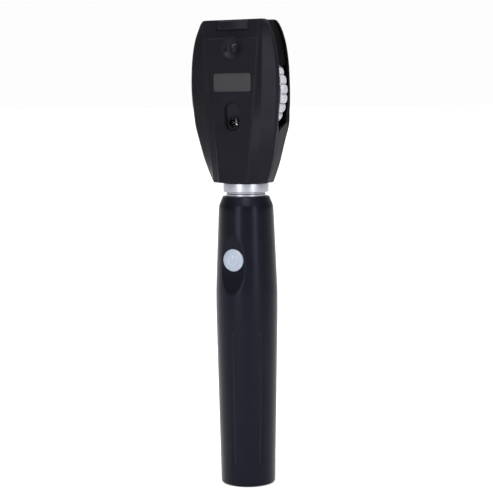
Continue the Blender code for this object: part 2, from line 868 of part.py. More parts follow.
def bore_holder(made, low, high):
    bore = rod(3.1 * MM, low - 2.0 * MM, high + 2.0 * MM)
    cut(made, turned_up(bore, depth=BEAM_FORWARD, steps=18), "beam_bore")
    hole = rod(0.75 * MM + GAP, low - 1.0 * MM, high + 1.0 * MM)
    cut(made, turned_up(hole, depth=APERTURE_FORWARD, steps=12), "axle_hole")


def condenser_holder():
    """The short tube over the lamp, with a foot for the aperture wheel's axle."""
    body = tube(3.1 * MM, 3.9 * MM, 170.0 * MM, 180.0 * MM)
    made = add_object(
        "condenser_holder", turned_up(body, depth=BEAM_FORWARD, steps=18), matte_black()
    )
    join(made, prism_up(holder_plan(), 179.4 * MM, 181.2 * MM), "foot")
    bore_holder(made, 179.4 * MM, 181.2 * MM)


def optics_tube():
    """The long tube from the aperture wheel up to the mirror."""
    body = tube(3.1 * MM, 3.9 * MM, 185.0 * MM, 214.0 * MM)
    made = add_object("optics_tube", turned_up(body, depth=BEAM_FORWARD, steps=18), matte_black())
    join(made, prism_up(holder_plan(), 184.0 * MM, 185.8 * MM), "foot")
    bore_holder(made, 184.0 * MM, 185.8 * MM)


def beam_lens(name, low, bulge):
    """A plano-convex lens in the light path."""
    radius = 2.8 * MM
    profile = [(0.0, low), (radius, low), (radius, low + 1.0 * MM)]
    for part in (0.7, 0.4):
        profile.append((radius * part, low + 1.0 * MM + bulge * (1 - part * part)))
    profile.append((0.0, low + 1.0 * MM + bulge))
    add_object(name, turned_up(profile, depth=BEAM_FORWARD, steps=20), glass())


def aperture_wheel():
    """A thumb wheel whose holes set the size of the spot of light."""
    pivot = forward(0.0, APERTURE_FORWARD, (APERTURE_LOW_Z + APERTURE_HIGH_Z) / 2)
    ridges = 18
    outline = []
    for step in range(ridges * 4):
        turn = math.tau * step / (ridges * 4)
        radius = APERTURE_RADIUS - (0.0, 0.12 * MM, 0.45 * MM, 0.12 * MM)[step % 4]
        x = radius * math.sin(turn)
        outline.append((x, APERTURE_FORWARD + radius * math.cos(turn)))
    made = add_object(
        "aperture_wheel", prism_up(outline, APERTURE_LOW_Z, APERTURE_HIGH_Z), matte_black(), pivot
    )
    bore = rod(0.75 * MM + GAP, APERTURE_LOW_Z - MM, APERTURE_HIGH_Z + MM)
    cut(made, turned_up(bore, depth=APERTURE_FORWARD, steps=12), "axle_hole")
    for number, radius in zip(range(APERTURE_HOLES), (1.6, 1.2, 0.8, 0.5, 1.4)):
        turn = math.tau * number / APERTURE_HOLES
        reach = BEAM_FORWARD - APERTURE_FORWARD
        hole = rod(radius * MM, APERTURE_LOW_Z - MM, APERTURE_HIGH_Z + MM)
        x = reach * math.sin(turn)
        depth = APERTURE_FORWARD + reach * math.cos(turn)
        cut(made, turned_up(hole, x, depth, 12), f"aperture_{number}")


def aperture_axle():
    profile = rod(0.75 * MM, 179.8 * MM, 185.4 * MM)
    add_object("aperture_axle", turned_up(profile, depth=APERTURE_FORWARD, steps=16), steel())


def mirror_plane():
    """Unit vectors along the mirror's slope, towards the back and up, and out of its face."""
    along = forward(0.0, -1.0, 1.0).normalized()
    out = forward(0.0, -1.0, -1.0).normalized()
    return along, out


def mirror():
    along, out = mirror_plane()
    centre = forward(0.0, BEAM_FORWARD, MIRROR_Z)
    half_x = Vector((3.6 * MM, 0.0, 0.0))
    half_slope = along * 4.4 * MM
    corners = [
        centre - half_x - half_slope,
        centre + half_x - half_slope,
        centre + half_x + half_slope,
        centre - half_x + half_slope,
    ]
    add_object("mirror", prism(corners, -out * 0.9 * MM), mirror_silver())


def mirror_holder():
    """The wedge on the chassis that the mirror is cemented to."""
    along, out = mirror_plane()
    centre = forward(0.0, BEAM_FORWARD, MIRROR_Z) - out * (0.9 * MM + GAP)
    low = centre - along * 5.2 * MM
    high = centre + along * 5.0 * MM
    foot = forward(0.0, 0.3 * MM, 0.0).y
    top = Vector((0.0, foot, high.z))
    bottom = Vector((0.0, foot, low.z))
    half_x = Vector((4.4 * MM, 0.0, 0.0))
    points = [low - half_x, high - half_x, top - half_x, bottom - half_x]
    add_object("mirror_holder", prism(points, half_x * 2), matte_black())


def patient_window():
    profile = rod(PATIENT_WINDOW_RADIUS, SHELL_BACK + 0.3 * MM, SHELL_BACK + 1.2 * MM)
    bm = turned_forward(profile, z=PATIENT_WINDOW_Z, steps=36)
    add_object("patient_window", bm, glass())


def lamp_base():
    """The heat sink that the lamp sits on, inside the collar."""
    profile = rod(7.3 * MM, 158.5 * MM, 166.0 * MM)
    made = add_object("lamp_base", turned_up(profile, steps=28), turned_aluminium())
    groove = tube(6.4 * MM, 9.0 * MM, 164.2 * MM, 165.0 * MM)
    cut(made, turned_up(groove, steps=28), "fin_groove")


def lamp_contact():
    profile = (
        (0.0, 157.0 * MM),
        (1.0 * MM, 157.0 * MM),
        (1.5 * MM, 157.5 * MM),
        (1.5 * MM, 158.2 * MM),
        (0.0, 158.2 * MM),
    )
    add_object("lamp_contact", turned_up(profile, steps=20), brass())


def lamp_board():
    profile = rod(7.3 * MM, 166.3 * MM, 167.1 * MM)
    add_object("lamp_board", turned_up(profile, steps=30), board_green())


def lamp_emitter():
    """The light-emitting diode: a square body under a small dome."""
    low = 167.4 * MM
    made = add_object(
        "lamp_emitter",
        box(
            (-1.5 * MM, 1.5 * MM),
            (BEAM_FORWARD - 1.5 * MM, BEAM_FORWARD + 1.5 * MM),
            (low, low + 0.7 * MM),
        ),
        lamp_yellow(),
    )
    base = low + 0.5 * MM
    profile = [(0.0, base)]
    for angle in (0, 30, 60):
        turn = math.radians(angle)
        profile.append((1.25 * MM * math.cos(turn), base + 1.25 * MM * math.sin(turn)))
    profile.append((0.0, base + 1.25 * MM))
    join(made, turned_up(profile, depth=BEAM_FORWARD, steps=20), "dome")


# ----------------------------------------------------------- collar, handle


def collar():
    """The ring under the head, with a neck and a flange that the covers close on."""
    profile = (
        (7.8 * MM, COLLAR_BOTTOM_Z),
        (COLLAR_LIP_RADIUS, COLLAR_BOTTOM_Z),
        (COLLAR_LIP_RADIUS, COLLAR_BODY_Z - 0.2 * MM),
        (COLLAR_RADIUS - 0.25 * MM, COLLAR_BODY_Z - 0.1 * MM),
        (COLLAR_RADIUS, COLLAR_BODY_Z + 0.15 * MM),
        (COLLAR_RADIUS, HEAD_BOTTOM_Z - GAP),
        (9.0 * MM, HEAD_BOTTOM_Z - GAP),
        (9.0 * MM, 162.6 * MM),
        (10.2 * MM, 162.6 * MM),
        (10.2 * MM, 163.8 * MM),
        (7.8 * MM, 163.8 * MM),
    )
    add_object("collar", turned_up(profile, steps=36), turned_aluminium())


def handle_top_ring():
    profile = (
        (7.5 * MM, 147.9 * MM),
        (10.0 * MM, 147.9 * MM),
        (10.0 * MM, 153.6 * MM),
        (COLLAR_LIP_RADIUS, 153.6 * MM),
        (COLLAR_LIP_RADIUS, COLLAR_BOTTOM_Z - GAP),
        (7.5 * MM, COLLAR_BOTTOM_Z - GAP),
    )
    add_object("handle_top_ring", turned_up(profile, steps=36), turned_aluminium())


def top_insulator():
    """The plug that holds the sprung contact in the middle of the top ring."""
    profile = (
        (2.3 * MM, 146.8 * MM),
        (11.4 * MM, 146.8 * MM),
        (11.4 * MM, 147.2 * MM),
        (7.1 * MM, 147.2 * MM),
        (7.1 * MM, 154.0 * MM),
        (2.3 * MM, 154.0 * MM),
    )
    add_object("top_insulator", turned_up(profile, steps=28), moulded_grey())


def contact_pin():
    profile = (
        (0.0, 149.6 * MM),
        (2.0 * MM, 149.6 * MM),
        (2.0 * MM, 155.4 * MM),
        (1.2 * MM, 156.5 * MM),
        (0.0, 156.6 * MM),
    )
    add_object("contact_pin", turned_up(profile, steps=20), brass())


def contact_spring():
    spring = coil(1.5 * MM, 1.5 * MM, 0.25 * MM, 143.6 * MM, 149.3 * MM, 4.5, 9)
    add_object("contact_spring", spring, steel())


def handle_sleeve():
    """The fluted grip, bored for the batteries and the circuit board."""
    outer = [(radius * MM, z * MM) for radius, z in HANDLE_OUTLINE]
    foot = [(13.7 * MM, 0.3 * MM), (14.1 * MM, 0.45 * MM), (14.4 * MM, 1.3 * MM)]
    profile = [(BATTERY_BORE_RADIUS, 0.3 * MM)] + foot + outer
    profile += [
        (SLEEVE_MOUTH_RADIUS, SLEEVE_TOP_Z),
        (SLEEVE_MOUTH_RADIUS, SLEEVE_SHOULDER_Z),
        (BOARD_BORE_RADIUS, SLEEVE_SHOULDER_Z),
        (BOARD_BORE_RADIUS, BORE_STEP_Z),
        (BATTERY_BORE_RADIUS, BORE_STEP_Z),
    ]
    made = add_object("handle_sleeve", turned_up(profile, steps=44), satin_black())
    cut(made, scoop_cutter(), "scoop")
    opening = rod(BUTTON_RADIUS + GAP, 5.0 * MM, 20.0 * MM)
    cut(made, turned_forward(opening, z=BUTTON_Z, steps=36), "button_opening")
    for number in range(FLUTE_COUNT):
        cut(made, flute_cutter(number), f"flute_{number}")


def scoop_cutter():
    """A wide round-bottomed bite, as a large cylinder lying across the handle takes."""
    centre = SCOOP_FLOOR + SCOOP_RADIUS
    points = []
    for step in range(21):
        along = SCOOP_HALF_HEIGHT * (step / 10 - 1)
        depth = centre - math.sqrt(SCOOP_RADIUS**2 - along**2)
        points.append(forward(-12.0 * MM, depth, BUTTON_Z + along))
    points.append(forward(-12.0 * MM, 22.0 * MM, BUTTON_Z + SCOOP_HALF_HEIGHT))
    points.append(forward(-12.0 * MM, 22.0 * MM, BUTTON_Z - SCOOP_HALF_HEIGHT))
    return prism(points, (24.0 * MM, 0.0, 0.0))


def handle_radius(z):
    """The sleeve's outer radius at this height."""
    points = [(radius * MM, height * MM) for radius, height in HANDLE_OUTLINE]
    for (low_radius, low), (high_radius, high) in zip(points, points[1:]):
        if z <= high:
            return low_radius + (high_radius - low_radius) * (z - low) / (high - low)
    return points[-1][0]


def flute_cutter(number):
    """A round-ended rod laid along the grip, so that it leaves a shallow groove."""
    radius = (FLUTE_HALF_WIDTH**2 + FLUTE_DEPTH**2) / (2 * FLUTE_DEPTH)
    stand_off = radius - FLUTE_DEPTH
    low = FLUTE_LOW_Z + FLUTE_HALF_WIDTH
    high = FLUTE_HIGH_Z - FLUTE_HALF_WIDTH
    heights = [low, (low + high) / 2, high]
    profile_rings = []
    for angle in (-90, -60, -30):
        profile_rings.append((low, angle))
    for z in heights:
        profile_rings.append((z, 0))
    for angle in (30, 60, 90):
        profile_rings.append((high, angle))
    bm = bmesh.new()
    rings = []
    for z, angle in profile_rings:
        turn = math.radians(angle)
        size = radius * math.cos(turn) + 0.002 * MM
        centre = Vector((0.0, -(handle_radius(z) + stand_off), z + radius * math.sin(turn)))
        ring = []
        for side in range(10):
            way = math.tau * side / 10
            spot = centre + Vector((size * math.cos(way), size * math.sin(way), 0.0))
            ring.append(bm.verts.new(spot))
        rings.append(ring)
    for low_ring, high_ring in zip(rings, rings[1:]):
        for side in range(10):
            after = (side + 1) % 10
            face = (low_ring[side], low_ring[after], high_ring[after], high_ring[side])
            bm.faces.new(face)
    bm.faces.new(rings[0])
    bm.faces.new(rings[-1])
    bmesh.ops.remove_doubles(bm, verts=bm.verts, dist=0.01 * MM)
    place = math.radians(FLUTE_OFFSET_DEG + 360.0 / FLUTE_COUNT * number)
    bmesh.ops.rotate(bm, verts=bm.verts, cent=(0, 0, 0), matrix=Matrix.Rotation(place, 3, "Z"))
    return bm


def button_cap():
    pivot = forward(0.0, BUTTON_BACK, BUTTON_Z)
    profile = (
        (0.0, 11.9 * MM),
        (1.6 * MM, 11.9 * MM),
        (1.6 * MM, BUTTON_BACK),
        (BUTTON_RADIUS, BUTTON_BACK),
        (BUTTON_RADIUS, BUTTON_FACE - 0.5 * MM),
        (BUTTON_RADIUS - 0.4 * MM, BUTTON_FACE - 0.15 * MM),
        (BUTTON_RADIUS - 1.0 * MM, BUTTON_FACE - 0.02 * MM),
        (BUTTON_RADIUS - 1.4 * MM, BUTTON_FACE),
        (0.0, BUTTON_FACE),
    )
    bm = turned_forward(profile, z=BUTTON_Z, steps=28)
    add_object("button_cap", bm, button_plastic(), pivot)


def button_spring():
    """The coil round the switch; the button's skirt stops just short of it when pressed."""
    top = BUTTON_BACK - BUTTON_TRAVEL - 0.15 * MM
    spring = coil(4.9 * MM, 4.9 * MM, 0.25 * MM, 7.6 * MM, top, 3.0, 14)
    bmesh.ops.transform(spring, matrix=FACE_FORWARD, verts=spring.verts)
    bmesh.ops.translate(spring, verts=spring.verts, vec=(0.0, 0.0, BUTTON_Z))
    add_object("button_spring", spring, steel(), forward(0.0, 7.6 * MM, BUTTON_Z))


def tactile_switch():
    half = 3.0 * MM
    body = box((-half, half), (7.5 * MM, 10.3 * MM), (BUTTON_Z - half, BUTTON_Z + half))
    made = add_object("tactile_switch", body, moulded_grey())
    plunger = rod(1.6 * MM, 9.0 * MM, 11.0 * MM)
    join(made, turned_forward(plunger, z=BUTTON_Z, steps=20), "plunger")


def circuit_board():
    outline = ((-6.6, 109.5), (6.6, 109.5), (6.6, 142.6), (-6.6, 142.6))
    points = [(x * MM, z * MM) for x, z in outline]
    add_object("circuit_board", prism_forward(points, 6.0 * MM, 7.2 * MM), board_green())


def driver_chip():
    """The lamp driver on the circuit board, above the switch."""
    body = box((-2.4 * MM, 2.4 * MM), (7.5 * MM, 8.7 * MM), (130.0 * MM, 136.0 * MM))
    add_object("driver_chip", body, moulded_grey())


def board_carrier():
    """The moulded tube that holds the board behind the button."""
    profile = tube(10.2 * MM, 11.5 * MM, 107.5 * MM, 146.4 * MM)
    made = add_object("board_carrier", turned_up(profile, steps=28), moulded_grey())
    window = box((-8.0 * MM, 8.0 * MM), (5.0 * MM, 14.0 * MM), (112.0 * MM, 130.0 * MM))
    cut(made, window, "button_window")


def battery_contact():
    """The sprung disc that the upper battery's cap presses on."""
    profile = (
        (0.0, 106.8 * MM),
        (3.0 * MM, 106.8 * MM),
        (4.0 * MM, 107.6 * MM),
        (8.6 * MM, 108.2 * MM),
        (8.6 * MM, 108.6 * MM),
        (3.8 * MM, 108.0 * MM),
        (2.8 * MM, 107.2 * MM),
        (0.0, 107.2 * MM),
    )
    add_object("battery_contact", turned_up(profile, steps=24), brass())


def battery(name, base_z):
    """A size C cell with its raised positive cap."""
    profile = (
        (0.0, base_z + 0.2 * MM),
        (10.5 * MM, base_z + 0.2 * MM),
        (11.0 * MM, base_z),
        (BATTERY_RADIUS - 0.6 * MM, base_z),
        (BATTERY_RADIUS, base_z + 0.8 * MM),
        (BATTERY_RADIUS, base_z + BATTERY_LENGTH - 2.4 * MM),
        (BATTERY_RADIUS - 0.8 * MM, base_z + BATTERY_LENGTH - 1.6 * MM),
        (3.4 * MM, base_z + BATTERY_LENGTH - 1.6 * MM),
        (3.2 * MM, base_z + BATTERY_LENGTH),
        (0.0, base_z + BATTERY_LENGTH),
    )
    add_object(name, turned_up(profile, steps=28), battery_wrap())


def bottom_cap():
    """The screw plug that closes the battery bore, with a coin slot across its face."""
    profile = (
        (0.0, 0.0),
        (CAP_RADIUS - 0.4 * MM, 0.0),
        (CAP_RADIUS, 0.3 * MM),
        (CAP_RADIUS, 0.9 * MM),
        (12.0 * MM, 0.9 * MM),
        (12.0 * MM, 2.3 * MM),
        (CAP_RADIUS, 2.3 * MM),
        (CAP_RADIUS, CAP_HEIGHT),
        (11.2 * MM, CAP_HEIGHT),
        (11.2 * MM, 2.8 * MM),
        (0.0, 2.8 * MM),
    )
    made = add_object("bottom_cap", turned_up(profile, steps=36), satin_black())
    slot = box((-8.0 * MM, 8.0 * MM), (-1.1 * MM, 1.1 * MM), (-MM, 1.1 * MM))
    cut(made, slot, "coin_slot")


def cap_seal():
    """The rubber ring in the cap's groove."""
    profile = arc((12.73 * MM, 1.6 * MM), 0.42 * MM, 0, 300, 5)
    add_object("cap_seal", turned_up(profile, steps=36), black_rubber())


def cap_spring():
    """The tapered spring that presses the batteries up."""
    spring = coil(8.8 * MM, 4.4 * MM, 0.4 * MM, 3.1 * MM, 5.9 * MM, 3.0, 14)
    add_object("cap_spring", spring, steel())


def main():
    clear_scene()
    bpy.context.scene.unit_settings.scale_length = 1.0
    head_front_cover()
    head_rear_cover()
    head_chassis()
    cover_screws()
    viewing_dish()
    viewing_window()
    dial_window_frame()
    dial_window_lens()
    name_plate()
    brow_rest()
    lens_wheel()
    wheel_lenses()
    wheel_axle()
    wheel_axle_clip()
    detent_spring()
    condenser_holder()
    optics_tube()
    beam_lens("condenser_lens", 172.0 * MM, 1.0 * MM)
    beam_lens("focusing_lens", 206.0 * MM, 0.6 * MM)
    aperture_wheel()
    aperture_axle()
    mirror()
    mirror_holder()
    patient_window()
    lamp_base()
    lamp_contact()
    lamp_board()
    lamp_emitter()
    collar()
    handle_top_ring()
    top_insulator()
    contact_pin()
    contact_spring()
    handle_sleeve()
    button_cap()
    button_spring()
    tactile_switch()
    circuit_board()
    driver_chip()
    board_carrier()
    battery_contact()
    battery("battery_lower", BATTERY_BASE_Z)
    battery("battery_upper", BATTERY_BASE_Z + BATTERY_LENGTH + GAP)
    bottom_cap()
    cap_seal()
    cap_spring()


main()
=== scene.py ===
"""The ophthalmoscope's finished surfaces, camera and light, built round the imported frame.

Lengths are metres in the frame's own axes: +Z up the handle, -Y towards the examiner.
"Forward" is a distance along -Y from the handle's axis.
"""

import math

import bmesh
import bpy
from mathutils import Matrix, Vector


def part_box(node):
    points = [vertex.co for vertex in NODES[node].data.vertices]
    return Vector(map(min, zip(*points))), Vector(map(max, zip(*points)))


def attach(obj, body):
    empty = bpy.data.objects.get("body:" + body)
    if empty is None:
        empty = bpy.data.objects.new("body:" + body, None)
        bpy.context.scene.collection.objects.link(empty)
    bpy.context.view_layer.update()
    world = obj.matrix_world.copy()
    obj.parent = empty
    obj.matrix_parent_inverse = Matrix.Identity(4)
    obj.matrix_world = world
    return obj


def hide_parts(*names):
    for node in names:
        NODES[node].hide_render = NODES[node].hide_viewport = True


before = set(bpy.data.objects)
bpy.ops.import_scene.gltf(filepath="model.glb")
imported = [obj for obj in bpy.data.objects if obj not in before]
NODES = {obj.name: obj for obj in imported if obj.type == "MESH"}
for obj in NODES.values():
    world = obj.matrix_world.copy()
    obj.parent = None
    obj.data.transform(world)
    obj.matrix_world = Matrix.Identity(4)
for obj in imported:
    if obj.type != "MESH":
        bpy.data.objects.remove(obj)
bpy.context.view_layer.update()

MM = 0.001
FACE_FORWARD = Matrix.Rotation(math.radians(90), 4, "X")


def low(node):
    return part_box(node)[0]


def high(node):
    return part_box(node)[1]


def depths(node):
    """How far forward a node's back and front lie."""
    return -high(node).y, -low(node).y


def middle(node):
    corner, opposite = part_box(node)
    return (corner + opposite) / 2


# Places read from the frame.
HEAD_LOW = low("head_front_cover").z
HEAD_HIGH = high("head_front_cover").z
PANEL_FORWARD = -low("head_front_cover").y
REAR_BACK = -high("head_rear_cover").y
SIGHT = middle("viewing_dish")
WHEEL = middle("lens_wheel")
WHEEL_RADIUS = high("lens_wheel").x
WHEEL_BACK = -high("lens_wheel").y
WHEEL_FRONT = -low("lens_wheel").y
PLATE = middle("name_plate")
INSERT = middle("dial_window_frame")
DIAL = middle("dial_window_lens")
PATIENT = middle("patient_window")
BUTTON = middle("button_cap")
BUTTON_RADIUS = high("button_cap").x
BUTTON_FACE = -low("button_cap").y
APERTURE = middle("aperture_wheel")
SLEEVE_RADIUS = high("handle_sleeve").x
COLLAR_RADIUS = high("collar").x
LIP_RADIUS = high("handle_top_ring").x

# The head's outline as (height, half width) in millimetres.
HEAD_OUTLINE = (
    (160.6, 15.9),
    (166.8, 18.4),
    (174.1, 20.8),
    (184.0, 23.0),
    (190.6, 24.3),
    (196.9, 24.9),
    (203.0, 25.5),
    (209.7, 25.8),
    (217.0, 25.7),
    (224.0, 25.2),
    (231.0, 24.1),
    (236.2, 22.7),
    (240.0, 21.2),
    (243.3, 19.2),
    (244.4, 17.9),
)
# Front cover: height, half widths of panel and ridge, depths of ridge, side edge, rear edge.
FRONT_PROFILE = (
    (160.6, 8.2, 13.3, 10.9, 7.3, 6.2),
    (179.0, 9.8, 14.7, 12.0, 9.7, 6.8),
    (187.0, 10.6, 15.3, 12.45, 10.9, 7.4),
    (191.5, 11.0, 15.7, 12.7, 11.35, 9.5),
    (206.0, 12.4, 16.8, 13.5, 12.2, 9.6),
    (217.0, 13.3, 17.25, 13.5, 12.25, 10.4),
    (244.4, 15.3, 17.75, 13.5, 12.25, 10.4),
)
# Rear cover: height, and how far behind the axis its straight side reaches.
SIDE_REACH = (
    (160.0, 0.8),
    (176.0, 0.8),
    (182.8, 1.5),
    (190.8, 2.9),
    (199.0, 2.1),
    (207.0, 1.3),
    (215.0, 0.8),
    (245.0, 0.8),
)
BAND_FORWARD = PANEL_FORWARD - 0.4 * MM
BAND_DIP = 0.15 * MM
CREASE_Z = HEAD_HIGH - 9.4 * MM
FACET_SLOPE = 0.5
SLOT_LOW_Z = 187.0 * MM
SLOT_HIGH_Z = 191.5 * MM
COVER_WALL = 1.5 * MM
# How far forward the rear cover's side reaches beside the wheel: to just short of the arch.
REAR_EDGE = 1.1 * MM
# Thin walls inside the front cover that close the view over the wheel from the side.
BAFFLE_NEAR = 9.4 * MM
BAFFLE_FAR = 10.6 * MM
BAFFLE_DEPTHS = (9.5 * MM, 12.6 * MM)
BAFFLE_HEIGHTS = (190 * MM, 222 * MM)

# The handle's outline as (radius, height) in millimetres, above its rounded foot.
HANDLE_OUTLINE = (
    (14.40, 1.5),
    (14.53, 5.0),
    (15.09, 31.2),
    (15.61, 57.2),
    (16.08, 83.0),
    (16.26, 95.0),
    (16.26, 102.3),
    (16.03, 109.0),
    (15.25, 127.8),
    (14.41, 146.7),
)
HANDLE_NECK = ((14.15, 148.6), (12.20, 153.3))
SCOOP_RADIUS = 69.0 * MM
SCOOP_FLOOR = 13.95 * MM
FLUTES = 6
FLUTE_OFFSET_DEG = -2.0
FLUTE_LOW_Z = 11.4 * MM
FLUTE_HIGH_Z = 82.6 * MM
FLUTE_HALF_WIDTH = 1.15 * MM
FLUTE_DEPTH = 0.42 * MM

# Where the viewer stands.
VIEW_AZIMUTH = math.radians(29.0)
VIEW_DISTANCE = 0.7165
VIEW_HEIGHT = 0.203
VIEW_PITCH = math.radians(-6.1)
VIEW_ROLL = math.radians(-0.5)
VIEW_LENS = 99.55

# How brightly the surround glows in front of the object, behind it and overhead.
FRONT_GLOW = 0.15
BACK_GLOW = 0.6
TOP_GLOW = 2.3


# ---------------------------------------------------------------- node trees


def set_inputs(node, values):
    for name, value in values.items():
        node.inputs[name.replace("_", " ")].default_value = value


def add_node(tree, kind, links=(), **values):
    """A new shader node, with its inputs linked as (input, output) pairs or set by name."""
    node = tree.nodes.new(kind)
    for name, output in links:
        tree.links.new(output, node.inputs[name])
    set_inputs(node, values)
    return node


def map_range(tree, value, start, end, least, most):
    span = {"From_Min": start, "From_Max": end, "To_Min": least, "To_Max": most}
    return add_node(tree, "ShaderNodeMapRange", [("Value", value)], **span)


class Tree:
    """Short calls that add shader nodes to one material and link them."""

    def __init__(self, name):
        self.material = bpy.data.materials.new(name)
        self.material.use_nodes = True
        self.nodes = self.material.node_tree.nodes
        self.links = self.material.node_tree.links
        self.shader = self.nodes["Principled BSDF"]
        self.place = add_node(self, "ShaderNodeTexCoord").outputs["Object"]

    def set(self, **values):
        set_inputs(self.shader, values)

    def link(self, output, name):
        self.links.new(output, self.shader.inputs[name])

    def stretched(self, scale):
        """The object's own coordinates, multiplied by a vector."""
        node = add_node(self, "ShaderNodeVectorMath", [(0, self.place)])
        node.operation = "MULTIPLY"
        node.inputs[1].default_value = scale
        return node.outputs[0]

    def noise(self, scale, detail=3.0, roughness=0.55, vector=None):
        links = [("Vector", vector or self.place)]
        values = {"Scale": scale, "Detail": detail, "Roughness": roughness}
        return add_node(self, "ShaderNodeTexNoise", links, **values).outputs["Fac"]

    def cells(self, scale):
        links = [("Vector", self.place)]
        return add_node(self, "ShaderNodeTexVoronoi", links, Scale=scale).outputs["Distance"]

    def ramp(self, factor, stops):
        """A colour ramp through (position, colour) stops."""
        node = add_node(self, "ShaderNodeValToRGB", [("Fac", factor)])
        row = node.color_ramp.elements
        while len(row) < len(stops):
            row.new(0.5)
        for element, (position, colour) in zip(row, stops):
            element.position = position
            element.color = (*colour, 1.0)
        return node.outputs["Color"]

    def spread(self, factor, least, most, start=0.3, end=0.7):
        return map_range(self, factor, start, end, least, most).outputs["Result"]

    def bump(self, factor, depth, strength=1.0):
        values = {"Distance": depth, "Strength": strength}
        node = add_node(self, "ShaderNodeBump", [("Height", factor)], **values)
        self.link(node.outputs["Normal"], "Normal")

    def mix(self, factor, first, second):
        """A colour between two colours or colour outputs."""
        node = add_node(self, "ShaderNodeMix", [("Factor", factor)])
        node.data_type = "RGBA"
        for name, value in (("A", first), ("B", second)):
            socket = [s for s in node.inputs if s.name == name and s.type == "RGBA"][0]
            if isinstance(value, tuple):
                socket.default_value = (*value, 1.0)
            else:
                self.links.new(value, socket)
        return [s for s in node.outputs if s.type == "RGBA"][0]


def finish(name, tones, dark, light, gloss, rough, grain=None, **settings):
    """Two close tones from one noise, uneven gloss from another, and a fine grain if any.

    tones, gloss and the first of grain are noise settings; without gloss the tones' noise serves.
    """
    tree = Tree(name)
    cloud = tree.noise(*tones)
    tree.link(tree.ramp(cloud, ((0.3, dark), (0.7, light))), "Base Color")
    tree.link(tree.spread(tree.noise(*gloss) if gloss else cloud, *rough), "Roughness")
    if grain:
        tree.bump(tree.noise(*grain[0]), grain[1], grain[2])
    tree.set(**settings)
    return tree.material


def plastic(name, dark, light, rough, grain, depth, **settings):
    """Moulded plastic: a faint cloud in the colour, a fine spark-eroded grain, uneven gloss."""
    fine = ((grain, 2.0, 0.7), depth, 0.5)
    return finish(name, (90.0, 4.0), dark, light, (55.0, 5.0, 0.65), rough, fine, **settings)


COVER_TONES = ((0.0036, 0.0034, 0.0052), (0.005, 0.0047, 0.007))
COVER_GLOSS = {"Specular_IOR_Level": 0.12, "Specular_Tint": (0.88, 0.86, 1.0, 1.0)}


def cover_black(name, rough_low, rough_high):
    rough = (rough_low, rough_high)
    return plastic(name, *COVER_TONES, rough, 3200.0, 0.02 * MM, **COVER_GLOSS)


def rear_cover_black():
    """The cover's black, with painted shade along the sides beside the wheel: darker and less glossy
    above the slot.
    """
    tree = Tree("rear_cover_black")
    axes = add_node(tree, "ShaderNodeSeparateXYZ", [(0, tree.place)])
    high_up = tree.spread(axes.outputs["Z"], 0.0, 1.0, SLOT_HIGH_Z - MM, SLOT_HIGH_Z + MM)
    sideways = tree.spread(axes.outputs["Y"], 1.0, 0.0, 6.5 * MM, 8.5 * MM)
    # Painted shade: above the slot and towards the front, the sides' colour is darkened to near black and
    # their gloss weakened.
    painted_shade_band = add_node(tree, "ShaderNodeMath", [(0, high_up), (1, sideways)])
    painted_shade_band.operation = "MULTIPLY"
    cloud = tree.ramp(tree.noise(90.0, 4.0), ((0.3, COVER_TONES[0]), (0.7, COVER_TONES[1])))
    tree.link(tree.mix(painted_shade_band.outputs[0], cloud, (0.0012, 0.0012, 0.0014)), "Base Color")
    tree.link(tree.spread(painted_shade_band.outputs[0], 0.12, 0.02, 0.0, 1.0), "Specular IOR Level")
    tree.link(tree.spread(tree.noise(55.0, 5.0, 0.65), 0.34, 0.41), "Roughness")
    tree.bump(tree.noise(3200.0, 2.0, 0.7), 0.02 * MM, 0.5)
    return tree.material


def plate_grey():
    """The blank badge: a satin grey lacquer with a very fine metal flake."""
    tree = Tree("plate_grey")
    flake = tree.cells(5200.0)
    colour = tree.ramp(flake, ((0.1, (0.012, 0.012, 0.0145)), (0.9, (0.018, 0.018, 0.0215))))
    tree.link(colour, "Base Color")
    tree.link(tree.spread(tree.noise(160.0), 0.38, 0.48), "Roughness")
    tree.bump(tree.noise(3000.0, 2.0), 0.01 * MM, 0.4)
    tree.set(Metallic=0.25)
    return tree.material


def turned_metal(name, dark, light, rough_low, rough_high, rings, anisotropy):
    """Metal off a lathe: fine rings round the vertical axis, with a faint bloom between them."""
    tree = Tree(name)
    lines = tree.noise(1.0, 4.0, 0.7, tree.stretched((18.0, 18.0, rings)))
    tree.link(tree.ramp(lines, ((0.3, dark), (0.7, light))), "Base Color")
    tree.link(tree.spread(lines, rough_low, rough_high), "Roughness")
    tree.bump(lines, 0.006 * MM, 0.5)
    tree.set(Metallic=1.0, Anisotropic=anisotropy)
    return tree.material


def clear_glass(name, tint=(0.95, 0.97, 0.98), bending=1.5):
    """Polished glass with a faint bloom of fingerprints in its gloss."""
    tree = Tree(name)
    print_marks = tree.noise(700.0, 5.0, 0.7)
    tree.link(tree.ramp(print_marks, ((0.2, tint), (0.8, (0.98, 0.99, 1.0)))), "Base Color")
    tree.link(tree.spread(print_marks, 0.0, 0.05, 0.4, 0.8), "Roughness")
    tree.set(Transmission_Weight=1.0, IOR=bending)
    return tree.material


def board_green():
    """Solder mask over a glass weave, with paler tracks."""
    tree = Tree("board_green")
    weave = tree.cells(900.0)
    mask = tree.ramp(weave, ((0.1, (0.008, 0.075, 0.03)), (0.6, (0.02, 0.14, 0.06))))
    tracks = tree.noise(420.0, 0.0, 0.5, tree.stretched((1.0, 1.0, 0.25)))
    lines = tree.spread(tracks, 0.0, 1.0, 0.55, 0.58)
    tree.link(tree.mix(lines, mask, (0.05, 0.24, 0.1)), "Base Color")
    tree.link(tree.spread(weave, 0.3, 0.45), "Roughness")
    tree.bump(tracks, 0.02 * MM, 0.4)
    return tree.material


